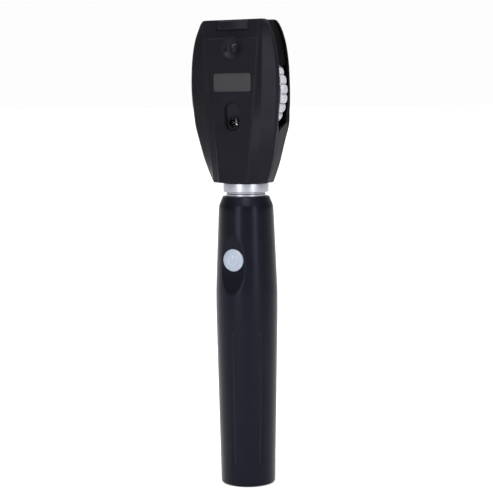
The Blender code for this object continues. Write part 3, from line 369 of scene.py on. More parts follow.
def battery_foil():
    """A plain copper printed jacket, brushed along the cell."""
    tree = Tree("battery_foil")
    brushed = tree.noise(1.0, 3.0, 0.6, tree.stretched((1500.0, 1500.0, 40.0)))
    tree.link(tree.ramp(brushed, ((0.3, (0.42, 0.22, 0.1)), (0.7, (0.56, 0.32, 0.16)))), "Base Color")
    tree.link(tree.spread(brushed, 0.25, 0.36), "Roughness")
    tree.set(Metallic=0.8)
    return tree.material


def dial_ink(name, dark, light):
    return finish(name, (1800.0, 3.0), dark, light, None, (0.4, 0.55))


COVER = cover_black("cover_black", 0.34, 0.41)
REAR_BLACK_PAINTED_SHADE = rear_cover_black()
INSERT_BLACK = cover_black("insert_black", 0.3, 0.36)
# Satin coating on the metal sleeve, a little smoother and bluer than the covers.
GRIP = plastic(
    "grip_black", (0.0022, 0.0024, 0.0042), (0.0034, 0.0037, 0.006), (0.28, 0.34), 2400.0, 0.012 * MM,
    Specular_IOR_Level=0.14, Specular_Tint=(0.68, 0.72, 1.0, 1.0),
)
RECESS = plastic(
    "recess_black", (0.0012, 0.0012, 0.0014), (0.002, 0.002, 0.0023), (0.6, 0.75), 2600.0, 0.03 * MM,
    Specular_IOR_Level=0.04,
)
PAD = plastic("pad_rubber", *COVER_TONES, (0.4, 0.48), 1800.0, 0.03 * MM, **COVER_GLOSS)
SEAL = plastic(
    "seal_rubber", (0.012, 0.012, 0.013), (0.02, 0.02, 0.021), (0.55, 0.7), 2200.0, 0.02 * MM
)
PLATE_LACQUER = plate_grey()
# Pale lilac-grey nylon, slightly translucent.
WHEEL_NYLON = finish(
    "wheel_plastic", (240.0, 4.0), (0.33, 0.32, 0.36), (0.42, 0.41, 0.45),
    (500.0, 4.0), (0.34, 0.5), ((2600.0, 3.0), 0.02 * MM, 0.4),
    Subsurface_Weight=0.25, Subsurface_Scale=0.0012, Subsurface_Radius=(1.0, 0.95, 1.0),
)
# Frosted pale blue elastomer.
BUTTON_RUBBER = finish(
    "button_plastic", (300.0, 3.0), (0.23, 0.27, 0.33), (0.28, 0.32, 0.39),
    (420.0, 4.0), (0.3, 0.4), ((3600.0, 2.0), 0.01 * MM, 0.35),
    Subsurface_Weight=0.35, Subsurface_Scale=0.002, Coat_Weight=0.15, Coat_Roughness=0.25,
)
ICON = finish(
    "icon_white", (900.0, 3.0), (0.36, 0.4, 0.47), (0.42, 0.46, 0.53), (600.0,), (0.35, 0.5)
)
COLLAR_METAL = turned_metal(
    "collar_metal", (0.31, 0.32, 0.36), (0.39, 0.4, 0.45), 0.3, 0.38, 9000.0, 0.4
)
STEEL = turned_metal("bright_steel", (0.5, 0.5, 0.51), (0.62, 0.62, 0.63), 0.22, 0.32, 6000.0, 0.2)
BRASS = turned_metal("plated_brass", (0.62, 0.42, 0.14), (0.8, 0.6, 0.26), 0.18, 0.28, 7000.0, 0.2)
SINK = turned_metal(
    "heat_sink_metal", (0.55, 0.56, 0.58), (0.68, 0.69, 0.71), 0.3, 0.42, 5000.0, 0.3
)
GLASS = clear_glass("lens_glass")
DIAL_GLASS = clear_glass("dial_glass", (0.9, 0.91, 0.94), 1.18)
MIRROR = finish(
    "silvered_mirror", (400.0, 4.0), (0.86, 0.87, 0.88), (0.92, 0.92, 0.93), None, (0.01, 0.05),
    Metallic=1.0,
)
BOARD = board_green()
PHOSPHOR = finish(
    "lamp_phosphor", (2500.0, 3.0), (0.8, 0.62, 0.12), (0.95, 0.8, 0.25), None, (0.25, 0.4),
    Subsurface_Weight=0.3, Subsurface_Scale=0.001,
)
FOIL = battery_foil()
GREY = plastic("moulded_grey", (0.07, 0.07, 0.075), (0.1, 0.1, 0.105), (0.45, 0.6), 2600.0, 0.02 * MM)
DIAL_FACE = plastic(
    "dial_black", (0.009, 0.009, 0.01), (0.014, 0.014, 0.016), (0.45, 0.6), 2600.0, 0.01 * MM
)
INK_WHITE = dial_ink("dial_white", (0.62, 0.62, 0.6), (0.75, 0.75, 0.72))
INK_RED = dial_ink("dial_red", (0.5, 0.03, 0.02), (0.62, 0.05, 0.03))
# A matte studio floor with the slightest mottle.
PALE_FLOOR = finish(
    "pale_floor", (3.0, 4.0), (0.86, 0.86, 0.86), (0.9, 0.9, 0.9), None, (0.75, 0.85),
    Specular_IOR_Level=0.1,
)


# -------------------------------------------------------------- mesh helpers


def add_object(name, data):
    made = bpy.data.objects.new(name, data)
    bpy.context.scene.collection.objects.link(made)
    return made


def add_piece(name, bm, surface, body, stands_for=(), sharp=35.0):
    """A finished piece from a bmesh in the frame's axes, riding on a CAD body."""
    bmesh.ops.recalc_face_normals(bm, faces=bm.faces)
    mesh = bpy.data.meshes.new(name)
    bm.to_mesh(mesh)
    bm.free()
    mesh.shade_smooth()
    mesh.set_sharp_from_angle(angle=math.radians(sharp))
    piece = add_object(name, mesh)
    mesh.materials.append(surface)
    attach(piece, body)
    if stands_for:
        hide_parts(*stands_for)
    return piece


def combine(piece, bm, operation):
    """A Boolean with a passing helper, applied at once."""
    bmesh.ops.recalc_face_normals(bm, faces=bm.faces)
    mesh = bpy.data.meshes.new("helper")
    bm.to_mesh(mesh)
    bm.free()
    helper = add_object("helper", mesh)
    step = piece.modifiers.new("step", "BOOLEAN")
    step.operation = operation
    step.solver = "EXACT"
    step.object = helper
    bake_modifiers(piece)
    bpy.data.objects.remove(helper)
    bpy.data.meshes.remove(mesh)


def bake_modifiers(piece):
    """Replaces the mesh with what its modifiers make of it."""
    graph = bpy.context.evaluated_depsgraph_get()
    shaped = bpy.data.meshes.new_from_object(piece.evaluated_get(graph), depsgraph=graph)
    piece.modifiers.clear()
    old = piece.data
    piece.data = shaped
    bpy.data.meshes.remove(old)


def cut(piece, bm):
    combine(piece, bm, "DIFFERENCE")


def shade(piece, sharp):
    """Smooth shading, with edges steeper than this many degrees kept sharp."""
    piece.data.shade_smooth()
    piece.data.set_sharp_from_angle(angle=math.radians(sharp))


def soften(piece, width, segments=2, angle=40.0):
    """Rounds the hard edges that the cuts left, and keeps the faces between them flat."""
    step = piece.modifiers.new("soften", "BEVEL")
    step.width = width
    step.segments = segments
    step.limit_method = "ANGLE"
    step.angle_limit = math.radians(angle)
    step.use_clamp_overlap = True
    bake_modifiers(piece)
    shade(piece, 35.0)
    flatten(piece)


def flatten(piece):
    """Lets the large faces set the shading of the narrow ones beside them."""
    step = piece.modifiers.new("flatten", "WEIGHTED_NORMAL")
    step.keep_sharp = True
    step.weight = 60
    bake_modifiers(piece)


def forward(x, depth, z):
    return Vector((x, -depth, z))


def skin(rings, capped=True):
    """Closed rings of points, one after the other, skinned into a surface."""
    bm = bmesh.new()
    made = [[bm.verts.new(point) for point in ring] for ring in rings]
    for first, second in zip(made, made[1:]):
        for index in range(len(first)):
            after = (index + 1) % len(first)
            bm.faces.new((first[index], first[after], second[after], second[index]))
    if capped:
        bm.faces.new(made[0])
        bm.faces.new(made[-1])
    return bm


def turns(count):
    return [math.tau * step / count for step in range(count)]


def on_dial(centre_z, radius, turn, depth):
    """A point on an upright circle, at an angle from its top."""
    return forward(radius * math.sin(turn), depth, centre_z + radius * math.cos(turn))


def turned(profile, steps):
    """A profile of (radius, height) points spun about Z; points on the axis become poles."""
    bm = bmesh.new()
    rings = []
    for radius, height in profile:
        if radius < 1e-7:
            rings.append([bm.verts.new((0.0, 0.0, height))])
            continue
        ring = []
        for turn in turns(steps):
            place = (radius * math.cos(turn), radius * math.sin(turn), height)
            ring.append(bm.verts.new(place))
        rings.append(ring)
    pairs = list(zip(rings, rings[1:]))
    if len(rings[0]) > 1 and len(rings[-1]) > 1:
        pairs.append((rings[-1], rings[0]))
    for first, second in pairs:
        for step in range(steps):
            after = (step + 1) % steps
            if len(first) == 1:
                bm.faces.new((first[0], second[after], second[step]))
            elif len(second) == 1:
                bm.faces.new((first[step], first[after], second[0]))
            else:
                bm.faces.new((first[step], first[after], second[after], second[step]))
    return bm


def turned_up(profile, x=0.0, depth=0.0, steps=96):
    bm = turned(profile, steps)
    bmesh.ops.translate(bm, verts=bm.verts, vec=forward(x, depth, 0.0))
    return bm


def turned_forward(profile, x=0.0, z=0.0, steps=96):
    """A turned shape whose axis points forward; its heights are depths forward."""
    bm = turned(profile, steps)
    bmesh.ops.transform(bm, matrix=FACE_FORWARD, verts=bm.verts)
    bmesh.ops.translate(bm, verts=bm.verts, vec=(x, 0.0, z))
    return bm


def rod(radius, start, end):
    return ((0.0, start), (radius, start), (radius, end), (0.0, end))


def fillet(points, radius, steps=4, closed=False):
    """A polyline with its corners rounded. Points are (u, v) or (u, v, own radius)."""
    made = []
    count = len(points)
    for index, point in enumerate(points):
        spot = Vector(point[:2])
        if not closed and index in (0, count - 1):
            made.append(tuple(spot))
            continue
        before = Vector(points[index - 1][:2])
        after = Vector(points[(index + 1) % count][:2])
        own = point[2] if len(point) > 2 else radius
        to_before = before - spot
        to_after = after - spot
        half = to_before.angle(to_after) / 2
        reach = own / math.tan(half)
        reach = min(reach, 0.45 * to_before.length, 0.45 * to_after.length)
        start = spot + to_before.normalized() * reach
        end = spot + to_after.normalized() * reach
        for step in range(steps + 1):
            part = step / steps
            line = start.lerp(spot, part)
            made.append(tuple(line.lerp(spot.lerp(end, part), part)))
    return made


def arc(centre, radius, start, end, count):
    points = []
    for step in range(count + 1):
        angle = math.radians(start + (end - start) * step / count)
        u = centre[0] + radius * math.cos(angle)
        v = centre[1] + radius * math.sin(angle)
        points.append((u, v))
    return points


def round_box(centre, width, height, corner, count=10):
    """A rectangle outline with round corners, or a stadium when the corner is half a side."""
    half_w = width / 2 - corner
    half_h = height / 2 - corner
    points = []
    for sign_x, sign_z, start in ((1, 1, 0), (-1, 1, 90), (-1, -1, 180), (1, -1, 270)):
        middle_point = (centre[0] + sign_x * half_w, centre[1] + sign_z * half_h)
        points += arc(middle_point, corner, start, start + 90, count)
    kept = [points[0]]
    for point in points[1:]:
        if math.dist(point, kept[-1]) > 1e-7 and math.dist(point, kept[0]) > 1e-7:
            kept.append(point)
    return kept


def inset(outline, amount):
    """An outline moved inwards along its own corners' bisectors. It runs anticlockwise."""
    made = []
    count = len(outline)
    for index, point in enumerate(outline):
        before = Vector(outline[index - 1])
        after = Vector(outline[(index + 1) % count])
        along = (after - before).normalized()
        made.append((point[0] - along.y * amount, point[1] + along.x * amount))
    return made


def pad_rings(outline, back, front, rounding, steps=4):
    """Rings of a plate facing forward whose front edge is rounded."""
    rings = [[forward(x, back, z) for x, z in outline]]
    for step in range(steps + 1):
        turn = math.radians(90 * step / steps)
        shrink = rounding * (1 - math.cos(turn))
        depth = front - rounding + rounding * math.sin(turn)
        rings.append([forward(x, depth, z) for x, z in inset(outline, shrink)])
    return rings


def plate(outline, back, front, rounding=0.15 * MM):
    return skin(pad_rings(outline, back, front, rounding))


def slab(outline, back, front):
    """A straight prism facing forward, used as a cutter."""
    return skin([[forward(x, depth, z) for x, z in outline] for depth in (back, front)])


def box(x_range, depth_range, z_range):
    outline = [
        (x_range[0], z_range[0]),
        (x_range[1], z_range[0]),
        (x_range[1], z_range[1]),
        (x_range[0], z_range[1]),
    ]
    return slab(outline, *depth_range)


def ramp(value, start, end, below, above):
    part = min(max((value - start) / (end - start), 0.0), 1.0)
    return below + (above - below) * part


def smooth_curve(points, value):
    """A smooth curve through (key, result) points, without overshoot at flat stretches."""
    if value <= points[0][0]:
        return points[0][1]
    if value >= points[-1][0]:
        return points[-1][1]
    for index in range(len(points) - 1):
        if value <= points[index + 1][0]:
            break
    slopes = []
    for near in (index, index + 1):
        left = points[max(near - 1, 0)]
        right = points[min(near + 1, len(points) - 1)]
        slopes.append((right[1] - left[1]) / (right[0] - left[0]))
    start, end = points[index], points[index + 1]
    span = end[0] - start[0]
    part = (value - start[0]) / span
    square = part * part
    cube = square * part
    return (
        start[1] * (2 * cube - 3 * square + 1)
        + slopes[0] * span * (cube - 2 * square + part)
        + end[1] * (3 * square - 2 * cube)
        + slopes[1] * span * (cube - square)
    )


def half_width(z):
    return smooth_curve(HEAD_OUTLINE, z / MM) * MM


def heights(start, end, spacing, rounding, extra=()):
    """(height, inset) pairs: even steps, with both ends rounded by a quarter circle."""
    rounded = []
    for step in range(5):
        turn = math.radians(18 * step)
        rounded.append((rounding * (1 - math.cos(turn)), rounding * (1 - math.sin(turn))))
    first, last = start + rounding, end - rounding
    count = max(2, round((last - first) / spacing))
    inner = [first + (last - first) * step / count for step in range(count + 1)]
    inner = sorted(inner + [z for z in extra if first < z < last])
    pairs = [(start + rise, shrink) for rise, shrink in rounded]
    pairs += [(z, 0.0) for z in inner]
    return pairs + [(end - rise, shrink) for rise, shrink in reversed(rounded)]


def mirrored(right_half):
    """Both halves of a section whose right half runs from back to front."""
    return right_half + [(-p[0], *p[1:]) for p in reversed(right_half)]


# --------------------------------------------------------------- head covers


def front_profile(z):
    """Panel and ridge half widths, ridge and edge depths smoothly; the rear edge in straight runs."""
    height = z / MM
    smooth = []
    for column in range(1, 5):
        smooth.append(smooth_curve([(row[0], row[column]) for row in FRONT_PROFILE], height) * MM)
    for start, end in zip(FRONT_PROFILE, FRONT_PROFILE[1:]):
        if height <= end[0]:
            break
    return *smooth, ramp(height, start[0], end[0], start[5], end[5]) * MM


def front_section(z, shrink):
    """The front cover's outline in plan at one height, as (x, depth, corner radius)."""
    width = half_width(z) - shrink
    panel, ridge, ridge_depth, edge_depth, parting = front_profile(z)
    lean = ramp(z, CREASE_Z, HEAD_HIGH, 0.0, 0.7 * MM) + shrink
    step = ramp(z, CREASE_Z - 0.35 * MM, CREASE_Z + 0.05 * MM, PANEL_FORWARD - BAND_FORWARD, 0.0)
    edge = width - 1.1 * MM
    ridge = min(ridge - shrink, edge - 0.4 * MM)
    if z > SLOT_LOW_Z:
        edge_depth = max(edge_depth, ridge_depth - FACET_SLOPE * (edge - ridge))
    dip = BAND_DIP if z < CREASE_Z else BAND_DIP * 0.3
    return mirrored([
        (width, parting, 0.12 * MM),
        (width, max(edge_depth - lean - 0.8 * MM, parting + 0.15 * MM), 0.3 * MM),
        (edge, max(edge_depth - lean, parting + 0.35 * MM), 0.35 * MM),
        (ridge, ridge_depth - lean, 0.3 * MM),
        (panel - shrink + 0.6 * MM, BAND_FORWARD - dip - lean, 0.12 * MM),
        (panel - shrink, BAND_FORWARD + step - lean, 0.18 * MM),
    ])


def front_cavity_section(z):
    width = half_width(z) - 1.6 * MM
    panel, ridge, ridge_depth, edge_depth, _ = front_profile(z)
    roof = PANEL_FORWARD - COVER_WALL - 0.2 * MM
    return mirrored([
        (width, 4.0 * MM),
        (width, edge_depth - 2.2 * MM),
        (min(ridge, width) - 0.8 * MM, min(ridge_depth - 1.4 * MM, roof - 0.1 * MM)),
        (panel - 1.5 * MM, roof),
    ])


def lofted(section, rows, steps):
    """A closed skin through a filleted section at each (height, inset)."""
    rings = []
    for z, shrink in rows:
        outline = fillet(section(z, shrink), 0.0, steps, True)
        rings.append([forward(x, depth, z) for x, depth in outline])
    return skin(rings)


def cavity(section, length, steps):
    """The hollow inside a cover, up from its floor."""
    start = HEAD_LOW + 1.6 * MM
    rows = [start + length * step / steps for step in range(steps + 1)]
    return skin([[forward(x, depth, z) for x, depth in section(z)] for z in rows])


def collar_hole():
    return turned_up(rod(9.15 * MM, HEAD_LOW - 2.6 * MM, HEAD_LOW + 2.4 * MM))


def head_front_cover():
    rows = heights(HEAD_LOW, HEAD_HIGH, 1.5 * MM, 0.5 * MM, (
        CREASE_Z - 0.35 * MM, CREASE_Z - 0.15 * MM, CREASE_Z + 0.05 * MM, CREASE_Z + 0.3 * MM,
    ))
    shell = lofted(front_section, rows, 4)
    piece = add_piece(
        "front_cover_shell", shell, COVER, "head", ("head_front_cover",), 50.0
    )
    cut(piece, cavity(front_cavity_section, 75.8 * MM, 24))
    for x_range in ((-BAFFLE_FAR, -BAFFLE_NEAR), (BAFFLE_NEAR, BAFFLE_FAR)):
        combine(piece, box(x_range, BAFFLE_DEPTHS, BAFFLE_HEIGHTS), "UNION")
    gap = 0.12 * MM
    dish_radius = high("viewing_dish").x + gap
    cut(piece, turned_forward(rod(dish_radius, 9 * MM, 16 * MM), z=SIGHT.z))
    size = high("dial_window_frame") - low("dial_window_frame")
    slot = round_box((0.0, INSERT.z), size.x + 2 * gap, size.z + 2 * gap, size.x / 2 + gap - 1e-6)
    cut(piece, slab(slot, 9 * MM, 16 * MM))
    size = high("name_plate") - low("name_plate")
    seat = round_box((0.0, PLATE.z), size.x + 2 * gap, size.z + 2 * gap, 1.6 * MM)
    cut(piece, slab(seat, 13.2 * MM, 16 * MM))
    brow_low, brow_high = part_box("brow_rest")
    notch = box(
        (brow_low.x - gap, brow_high.x + gap),
        (11.8 * MM, 17 * MM),
        (brow_low.z - 0.25 * MM, HEAD_HIGH + MM),
    )
    cut(piece, notch)
    cut(piece, collar_hole())
    soften(piece, 0.09 * MM, 2, 50.0)


def rear_section(z, shrink):
    width = half_width(z) - shrink
    edge = ramp(z, SLOT_LOW_Z, SLOT_HIGH_Z, front_profile(z)[4] - 0.25 * MM, REAR_EDGE)
    back = REAR_BACK + shrink
    return mirrored([
        (max(width - 12.0 * MM, 2.0 * MM), back, 3.0 * MM),
        (max(width - 9.5 * MM, 4.0 * MM), back + 0.7 * MM, 3.0 * MM),
        (width - 6.0 * MM, back + 3.4 * MM, 3.0 * MM),
        (width - 2.6 * MM, back + 7.4 * MM, 3.0 * MM),
        (width, -smooth_curve(SIDE_REACH, z / MM) * MM, 0.6 * MM),
        (width, edge, 0.3 * MM),
    ])


def rear_cavity_section(z):
    width = half_width(z) - COVER_WALL
    return mirrored([
        (max(width - 9.6 * MM, 2.6 * MM), REAR_BACK + 1.4 * MM),
        (max(width - 5.6 * MM, 3.6 * MM), -8.8 * MM),
        (width - 2.2 * MM, -4.6 * MM),
        (width, -1.4 * MM),
        (width, 12.0 * MM),
    ])


def head_rear_cover():
    rows = heights(HEAD_LOW, HEAD_HIGH, 1.5 * MM, 0.7 * MM, (SLOT_LOW_Z, SLOT_HIGH_Z))
    shell = lofted(rear_section, rows, 5)
    piece = add_piece(
        # The rear cover's material carries painted shade on its sides beside the wheel.
        "rear_cover_shell", shell, REAR_BLACK_PAINTED_SHADE, "head", ("head_rear_cover",), 50.0
    )
    cut(piece, cavity(rear_cavity_section, 80.8 * MM, 30))
    window = high("patient_window").x + 0.15 * MM
    cut(piece, turned_forward(rod(window, -16 * MM, -9 * MM), z=PATIENT.z))
    cut(piece, collar_hole())
    reach = high("aperture_wheel").x + 0.6 * MM
    slot = round_box((0.0, APERTURE.z), 2 * reach, 2.9 * MM, 1.2 * MM)
    cut(piece, slab(slot, -17 * MM, -9 * MM))
    for number in range(1, 5):
        spot = middle(f"cover_screw_{number}")
        cut(piece, turned_forward(rod(2.0 * MM, -16 * MM, REAR_BACK + 1.3 * MM), spot.x, spot.z, 48))
    soften(piece, 0.12 * MM, 2, 50.0)


def cover_screw(number):
    """A pan-head screw with a cross recess."""
    spot = middle(f"cover_screw_{number}")
    back = REAR_BACK + 0.4 * MM
    profile = fillet([
        (0.0, back),
        (1.3 * MM, back + 0.05 * MM, 0.2 * MM),
        (1.7 * MM, back + 0.35 * MM, 0.2 * MM),
        (1.7 * MM, back + 0.7 * MM),
        (1.0 * MM, back + 0.75 * MM),
        (1.0 * MM, 6.0 * MM, 0.1 * MM),
        (0.0, 6.0 * MM),
    ], 0.05 * MM, 3)
    piece = add_piece(
        f"pan_screw_{number}",
        turned_forward(profile, spot.x, spot.z, 48),
        STEEL,
        "head",
        (f"cover_screw_{number}",),
    )
    for wide, tall in ((0.28, 1.05), (1.05, 0.28)):
        drive = box(
            (spot.x - wide * MM, spot.x + wide * MM),
            (back - MM, back + 0.45 * MM),
            (spot.z - tall * MM, spot.z + tall * MM),
        )
        cut(piece, drive)
    shade(piece, 35.0)


# -------------------------------------------------------- pieces on the front


def viewing_dish():
    """A shallow rim, a smooth cone and a stepped throat."""
    radius = high("viewing_dish").x
    back, front = depths("viewing_dish")
    profile = fillet([
        (2.0 * MM, back + 0.75 * MM),
        (2.7 * MM, back + 0.75 * MM),
        (2.7 * MM, back),
        (radius, back, 0.1 * MM),
        (radius, front - 0.02 * MM, 0.25 * MM),
        (radius - 0.55 * MM, front, 0.2 * MM),
        (radius - 0.85 * MM, front - 0.35 * MM, 0.25 * MM),
        (3.4 * MM, front - 1.75 * MM, 2.5 * MM),
        (2.5 * MM, front - 1.95 * MM, 0.12 * MM),
        (2.35 * MM, front - 2.3 * MM, 0.1 * MM),
        (2.0 * MM, front - 2.35 * MM, 0.1 * MM),
    ], 0.05 * MM, 5, True)
    solid = turned_forward(profile, z=SIGHT.z, steps=128)
    add_piece("eyepiece_dish", solid, COVER, "head", ("viewing_dish",))


def dial_window_frame():
    """An insert whose floor slopes up to its rim, with a round bezel at its foot."""
    size = high("dial_window_frame") - low("dial_window_frame")
    back, front = depths("dial_window_frame")
    outline = round_box((0.0, INSERT.z), size.x, size.z, size.x / 2 - 1e-6, 24)
    top = INSERT.z + size.z / 2
    bend = DIAL.z + 1.5 * MM
    level = front - 1.5 * MM

    def floor(z):
        return ramp(z, bend, top, level, front - 0.15 * MM)

    def round_ring(radius, depth=None):
        """A ring round the dial, each point in line with its fellow on the outline."""
        points = []
        for x, z in outline:
            spot = Vector((x, z - DIAL.z)).normalized() * radius
            z = DIAL.z + spot.y
            points.append(forward(spot.x, floor(z) if depth is None else depth, z))
        return points

    rings = pad_rings(outline, back, front, 0.15 * MM)
    rim = inset(outline, 0.5 * MM)
    rings.append([forward(x, front, z) for x, z in rim])
    edge = [(x, z, floor(z)) for x, z in inset(outline, 0.62 * MM)]
    for part in (0.0, 0.25, 0.5, 0.75):
        rings.append([])
        for x, z, depth in edge:
            spot = Vector((x, z - DIAL.z))
            spot = spot.lerp(spot.normalized() * 3.45 * MM, part)
            z = DIAL.z + spot.y
            rings[-1].append(forward(spot.x, floor(z), z))
    bezel = fillet([
        (3.45, level / MM),
        (3.38, front / MM - 0.55, 0.3),
        (2.75, front / MM - 0.35, 0.2),
        (2.45, front / MM - 1.0),
        (2.45, back / MM),
    ], 0.15, 5)
    rings.append(round_ring(3.45 * MM))
    for radius, depth in bezel[1:]:
        rings.append(round_ring(radius * MM, depth * MM))
    rings.append(rings[0])
    bm = skin(rings, capped=False)
    bmesh.ops.remove_doubles(bm, verts=bm.verts, dist=1e-7)
    piece = add_piece(
        "window_insert", bm, INSERT_BLACK, "head", ("dial_window_frame",), 40.0
    )
    flatten(piece)


def dial_window_lens():
    """The small magnifier over the dial's numbers."""
    radius = high("dial_window_lens").x
    back = -high("dial_window_lens").y
    rim = back + 0.6 * MM
    sag = -low("dial_window_lens").y - rim
    profile = [(0.0, back), (radius, back), (radius, rim)]
    for step in range(1, 9):
        part = 1 - step / 8
        profile.append((radius * part, rim + sag * (1 - part * part)))
    solid = turned_forward(profile, z=DIAL.z, steps=64)
    add_piece("dial_magnifier", solid, DIAL_GLASS, "head", ("dial_window_lens",))


def name_plate():
    """A blank badge with a fine raised border, and no mark on it."""
    size = high("name_plate") - low("name_plate")
    back, front = depths("name_plate")
    outline = round_box((0.0, PLATE.z), size.x, size.z, 1.5 * MM, 8)
    border = 0.55 * MM
    rings = pad_rings(outline, back, front, 0.12 * MM, 3)
    for shrink, drop in ((border, 0.0), (border + 0.1 * MM, 0.02 * MM), (border + 0.16 * MM, 0.12 * MM)):
        rings.append([forward(x, front - drop, z) for x, z in inset(outline, shrink)])
    piece = add_piece("blank_badge", skin(rings), PLATE_LACQUER, "head", ("name_plate",))
    flatten(piece)


def brow_rest():
    """A soft pad, crowned forward, with rounded ends and edges."""
    corner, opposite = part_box("brow_rest")
    half = opposite.x
    back = -opposite.y
    crown = -corner.y
    rings = []
    for z, shrink in heights(corner.z, opposite.z, 0.8 * MM, 0.55 * MM):
        reach = half - shrink
        section = [(-reach, back, 0.1 * MM), (reach, back, 0.1 * MM)]
        for step in range(25):
            x = reach * (1 - step / 12)
            lift = (crown - 13.1 * MM) * (1 - (x / half) ** 2)
            section.append((x, 13.1 * MM + lift - shrink, 0.35 * MM))
        outline = fillet(section, 0.0, 2, True)
        rings.append([forward(x, depth, z) for x, depth in outline])
    add_piece("brow_pad", skin(rings), PAD, "head", ("brow_rest",), 50.0)


# --------------------------------------------------------------- lens wheel


WHEEL_LOBES = 33
LOBE_DEPTH = 1.6 * MM
WEB_BACK = 5.0 * MM
WEB_FRONT = 8.0 * MM
HUB_FRONT = WHEEL_FRONT - 0.2 * MM
LENS_CIRCLE = SIGHT.z - WHEEL.z
DIAL_CIRCLE = WHEEL.z - DIAL.z


def lobe_radius(turn, part):
    """The rim's radius at an angle and at a share of its depth from -1 to 1."""
    across = (turn * WHEEL_LOBES / math.tau + 0.5) % 1.0 * 2 - 1
    bead = math.sqrt(max(0.0, 1 - across**2))
    crown = math.sqrt(max(0.0, 1 - abs(part) ** 3))
    valley = WHEEL_RADIUS - LOBE_DEPTH
    return valley + LOBE_DEPTH * bead * (0.3 + 0.7 * crown) - 0.15 * MM * (1 - crown)


def lens_wheel():
    """Beaded rim, thin web with its lens places, and a raised hub that carries the numbers."""
    around = WHEEL_LOBES * 14
    half = (WHEEL_FRONT - WHEEL_BACK) / 2
    centre = (WHEEL_FRONT + WHEEL_BACK) / 2
    shares = [math.sin(math.radians(90 * s / 9)) for s in range(-9, 10)]
    rings = []

    def ring(depth, radius_at):
        rings.append([on_dial(WHEEL.z, radius_at(turn), turn, depth) for turn in turns(around)])

    for radius, depth in (
        (19.2, WEB_BACK), (25.1, WEB_BACK), (25.25, WEB_BACK - 0.15 * MM),
        (25.25, WHEEL_BACK + 0.1 * MM), (25.35, WHEEL_BACK),
    ):
        ring(depth, lambda turn, fixed=radius: fixed * MM)
    for part in shares:
        ring(centre + half * part, lambda turn, share=part: lobe_radius(turn, share))
    for radius, depth in (
        (25.35, WHEEL_FRONT), (25.25, WHEEL_FRONT - 0.1 * MM), (25.25, WEB_FRONT + 0.15 * MM),
        (25.1, WEB_FRONT), (19.6, WEB_FRONT), (19.45, WEB_FRONT + 0.15 * MM),
        (19.4, HUB_FRONT - 0.15 * MM), (19.25, HUB_FRONT), (1.85, HUB_FRONT), (1.85, WEB_BACK),
    ):
        ring(depth, lambda turn, fixed=radius: fixed * MM)
    bm = skin(rings, capped=False)
    bmesh.ops.remove_doubles(bm, verts=bm.verts, dist=1e-7)
    open_edges = [edge for edge in bm.edges if edge.is_boundary]
    bmesh.ops.bridge_loops(bm, edges=open_edges)
    piece = add_piece("dial_wheel", bm, WHEEL_NYLON, "lens_wheel", ("lens_wheel",), 50.0)
    for turn in turns(12):
        spot = on_dial(WHEEL.z, LENS_CIRCLE, turn, 0.0)
        cut(piece, turned_forward(rod(2.15 * MM, 3 * MM, 12 * MM), spot.x, spot.z, 32))
    shade(piece, 50.0)


def dial_face():
    """The black disc behind the numbers."""
    profile = fillet([
        (3.5 * MM, HUB_FRONT + 0.02 * MM),
        (19.0 * MM, HUB_FRONT + 0.02 * MM),
        (19.0 * MM, HUB_FRONT + 0.12 * MM, 0.04 * MM),
        (3.5 * MM, HUB_FRONT + 0.12 * MM, 0.04 * MM),
    ], 0.02 * MM, 2, True)
    disc = turned_forward(profile, z=WHEEL.z, steps=128)
    add_piece("dial_ring", disc, DIAL_FACE, "lens_wheel", ())


def dial_numbers():
    """A number opposite each lens: 0, then weak to strong plus, then strong to weak minus."""
    values = [0, 1, 2, 4, 8, 12, 20, 20, 12, 8, 4, 2]
    for place, value in enumerate(values):
        turn = math.tau * place / 12 + math.pi
        letters = bpy.data.curves.new(f"dial_number_{place:02d}", "FONT")
        letters.body = str(value)
        letters.size = 3.4 * MM
        letters.align_x = "CENTER"
        letters.align_y = "CENTER"
        letters.extrude = 0.02 * MM
        carrier = add_object("carrier", letters)
        mesh = bpy.data.meshes.new_from_object(carrier)
        bpy.data.objects.remove(carrier)
        mesh.name = f"dial_number_{place:02d}"
        spin = Matrix.Rotation(turn + math.pi, 4, "Y")
        spot = Matrix.Translation(on_dial(WHEEL.z, DIAL_CIRCLE, turn, HUB_FRONT + 0.14 * MM))
        mesh.transform(spot @ spin @ FACE_FORWARD)
        mesh.materials.clear()
        ink = INK_RED if place > 6 else INK_WHITE
        mesh.materials.append(ink)
        piece = add_object(mesh.name, mesh)
        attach(piece, "lens_wheel")


def aperture_wheel():
    """The thumb wheel that shows at the back: fine straight knurls, holes for the light."""
    radius = high("aperture_wheel").x + 0.05 * MM
    start = low("aperture_wheel").z
    end = high("aperture_wheel").z
    depth = -APERTURE.y
    ridges = 32
    rings = []
    for z, shrink in heights(start, end, 0.4 * MM, 0.3 * MM):
        ring = []
        for turn in turns(ridges * 6):
            wave = 0.5 + 0.5 * math.cos(ridges * turn)
            reach = min(radius, 6.4 * MM) - 0.3 * MM * (1 - wave) - shrink
            ring.append(forward(reach * math.sin(turn), depth + reach * math.cos(turn), z))
        rings.append(ring)
    piece = add_piece(
        "aperture_dial", skin(rings), RECESS, "aperture_wheel", ("aperture_wheel",), 50.0
    )
    cut(piece, turned_up(rod(0.9 * MM, start - MM, end + MM), depth=depth, steps=32))
    for turn, size in zip(turns(5), (1.6, 1.2, 0.8, 0.5, 1.4)):
        x = 3.8 * MM * math.sin(turn)
        reach = depth + 3.8 * MM * math.cos(turn)
        cut(piece, turned_up(rod(size * MM, start - MM, end + MM), x, reach, 40))
    shade(piece, 50.0)


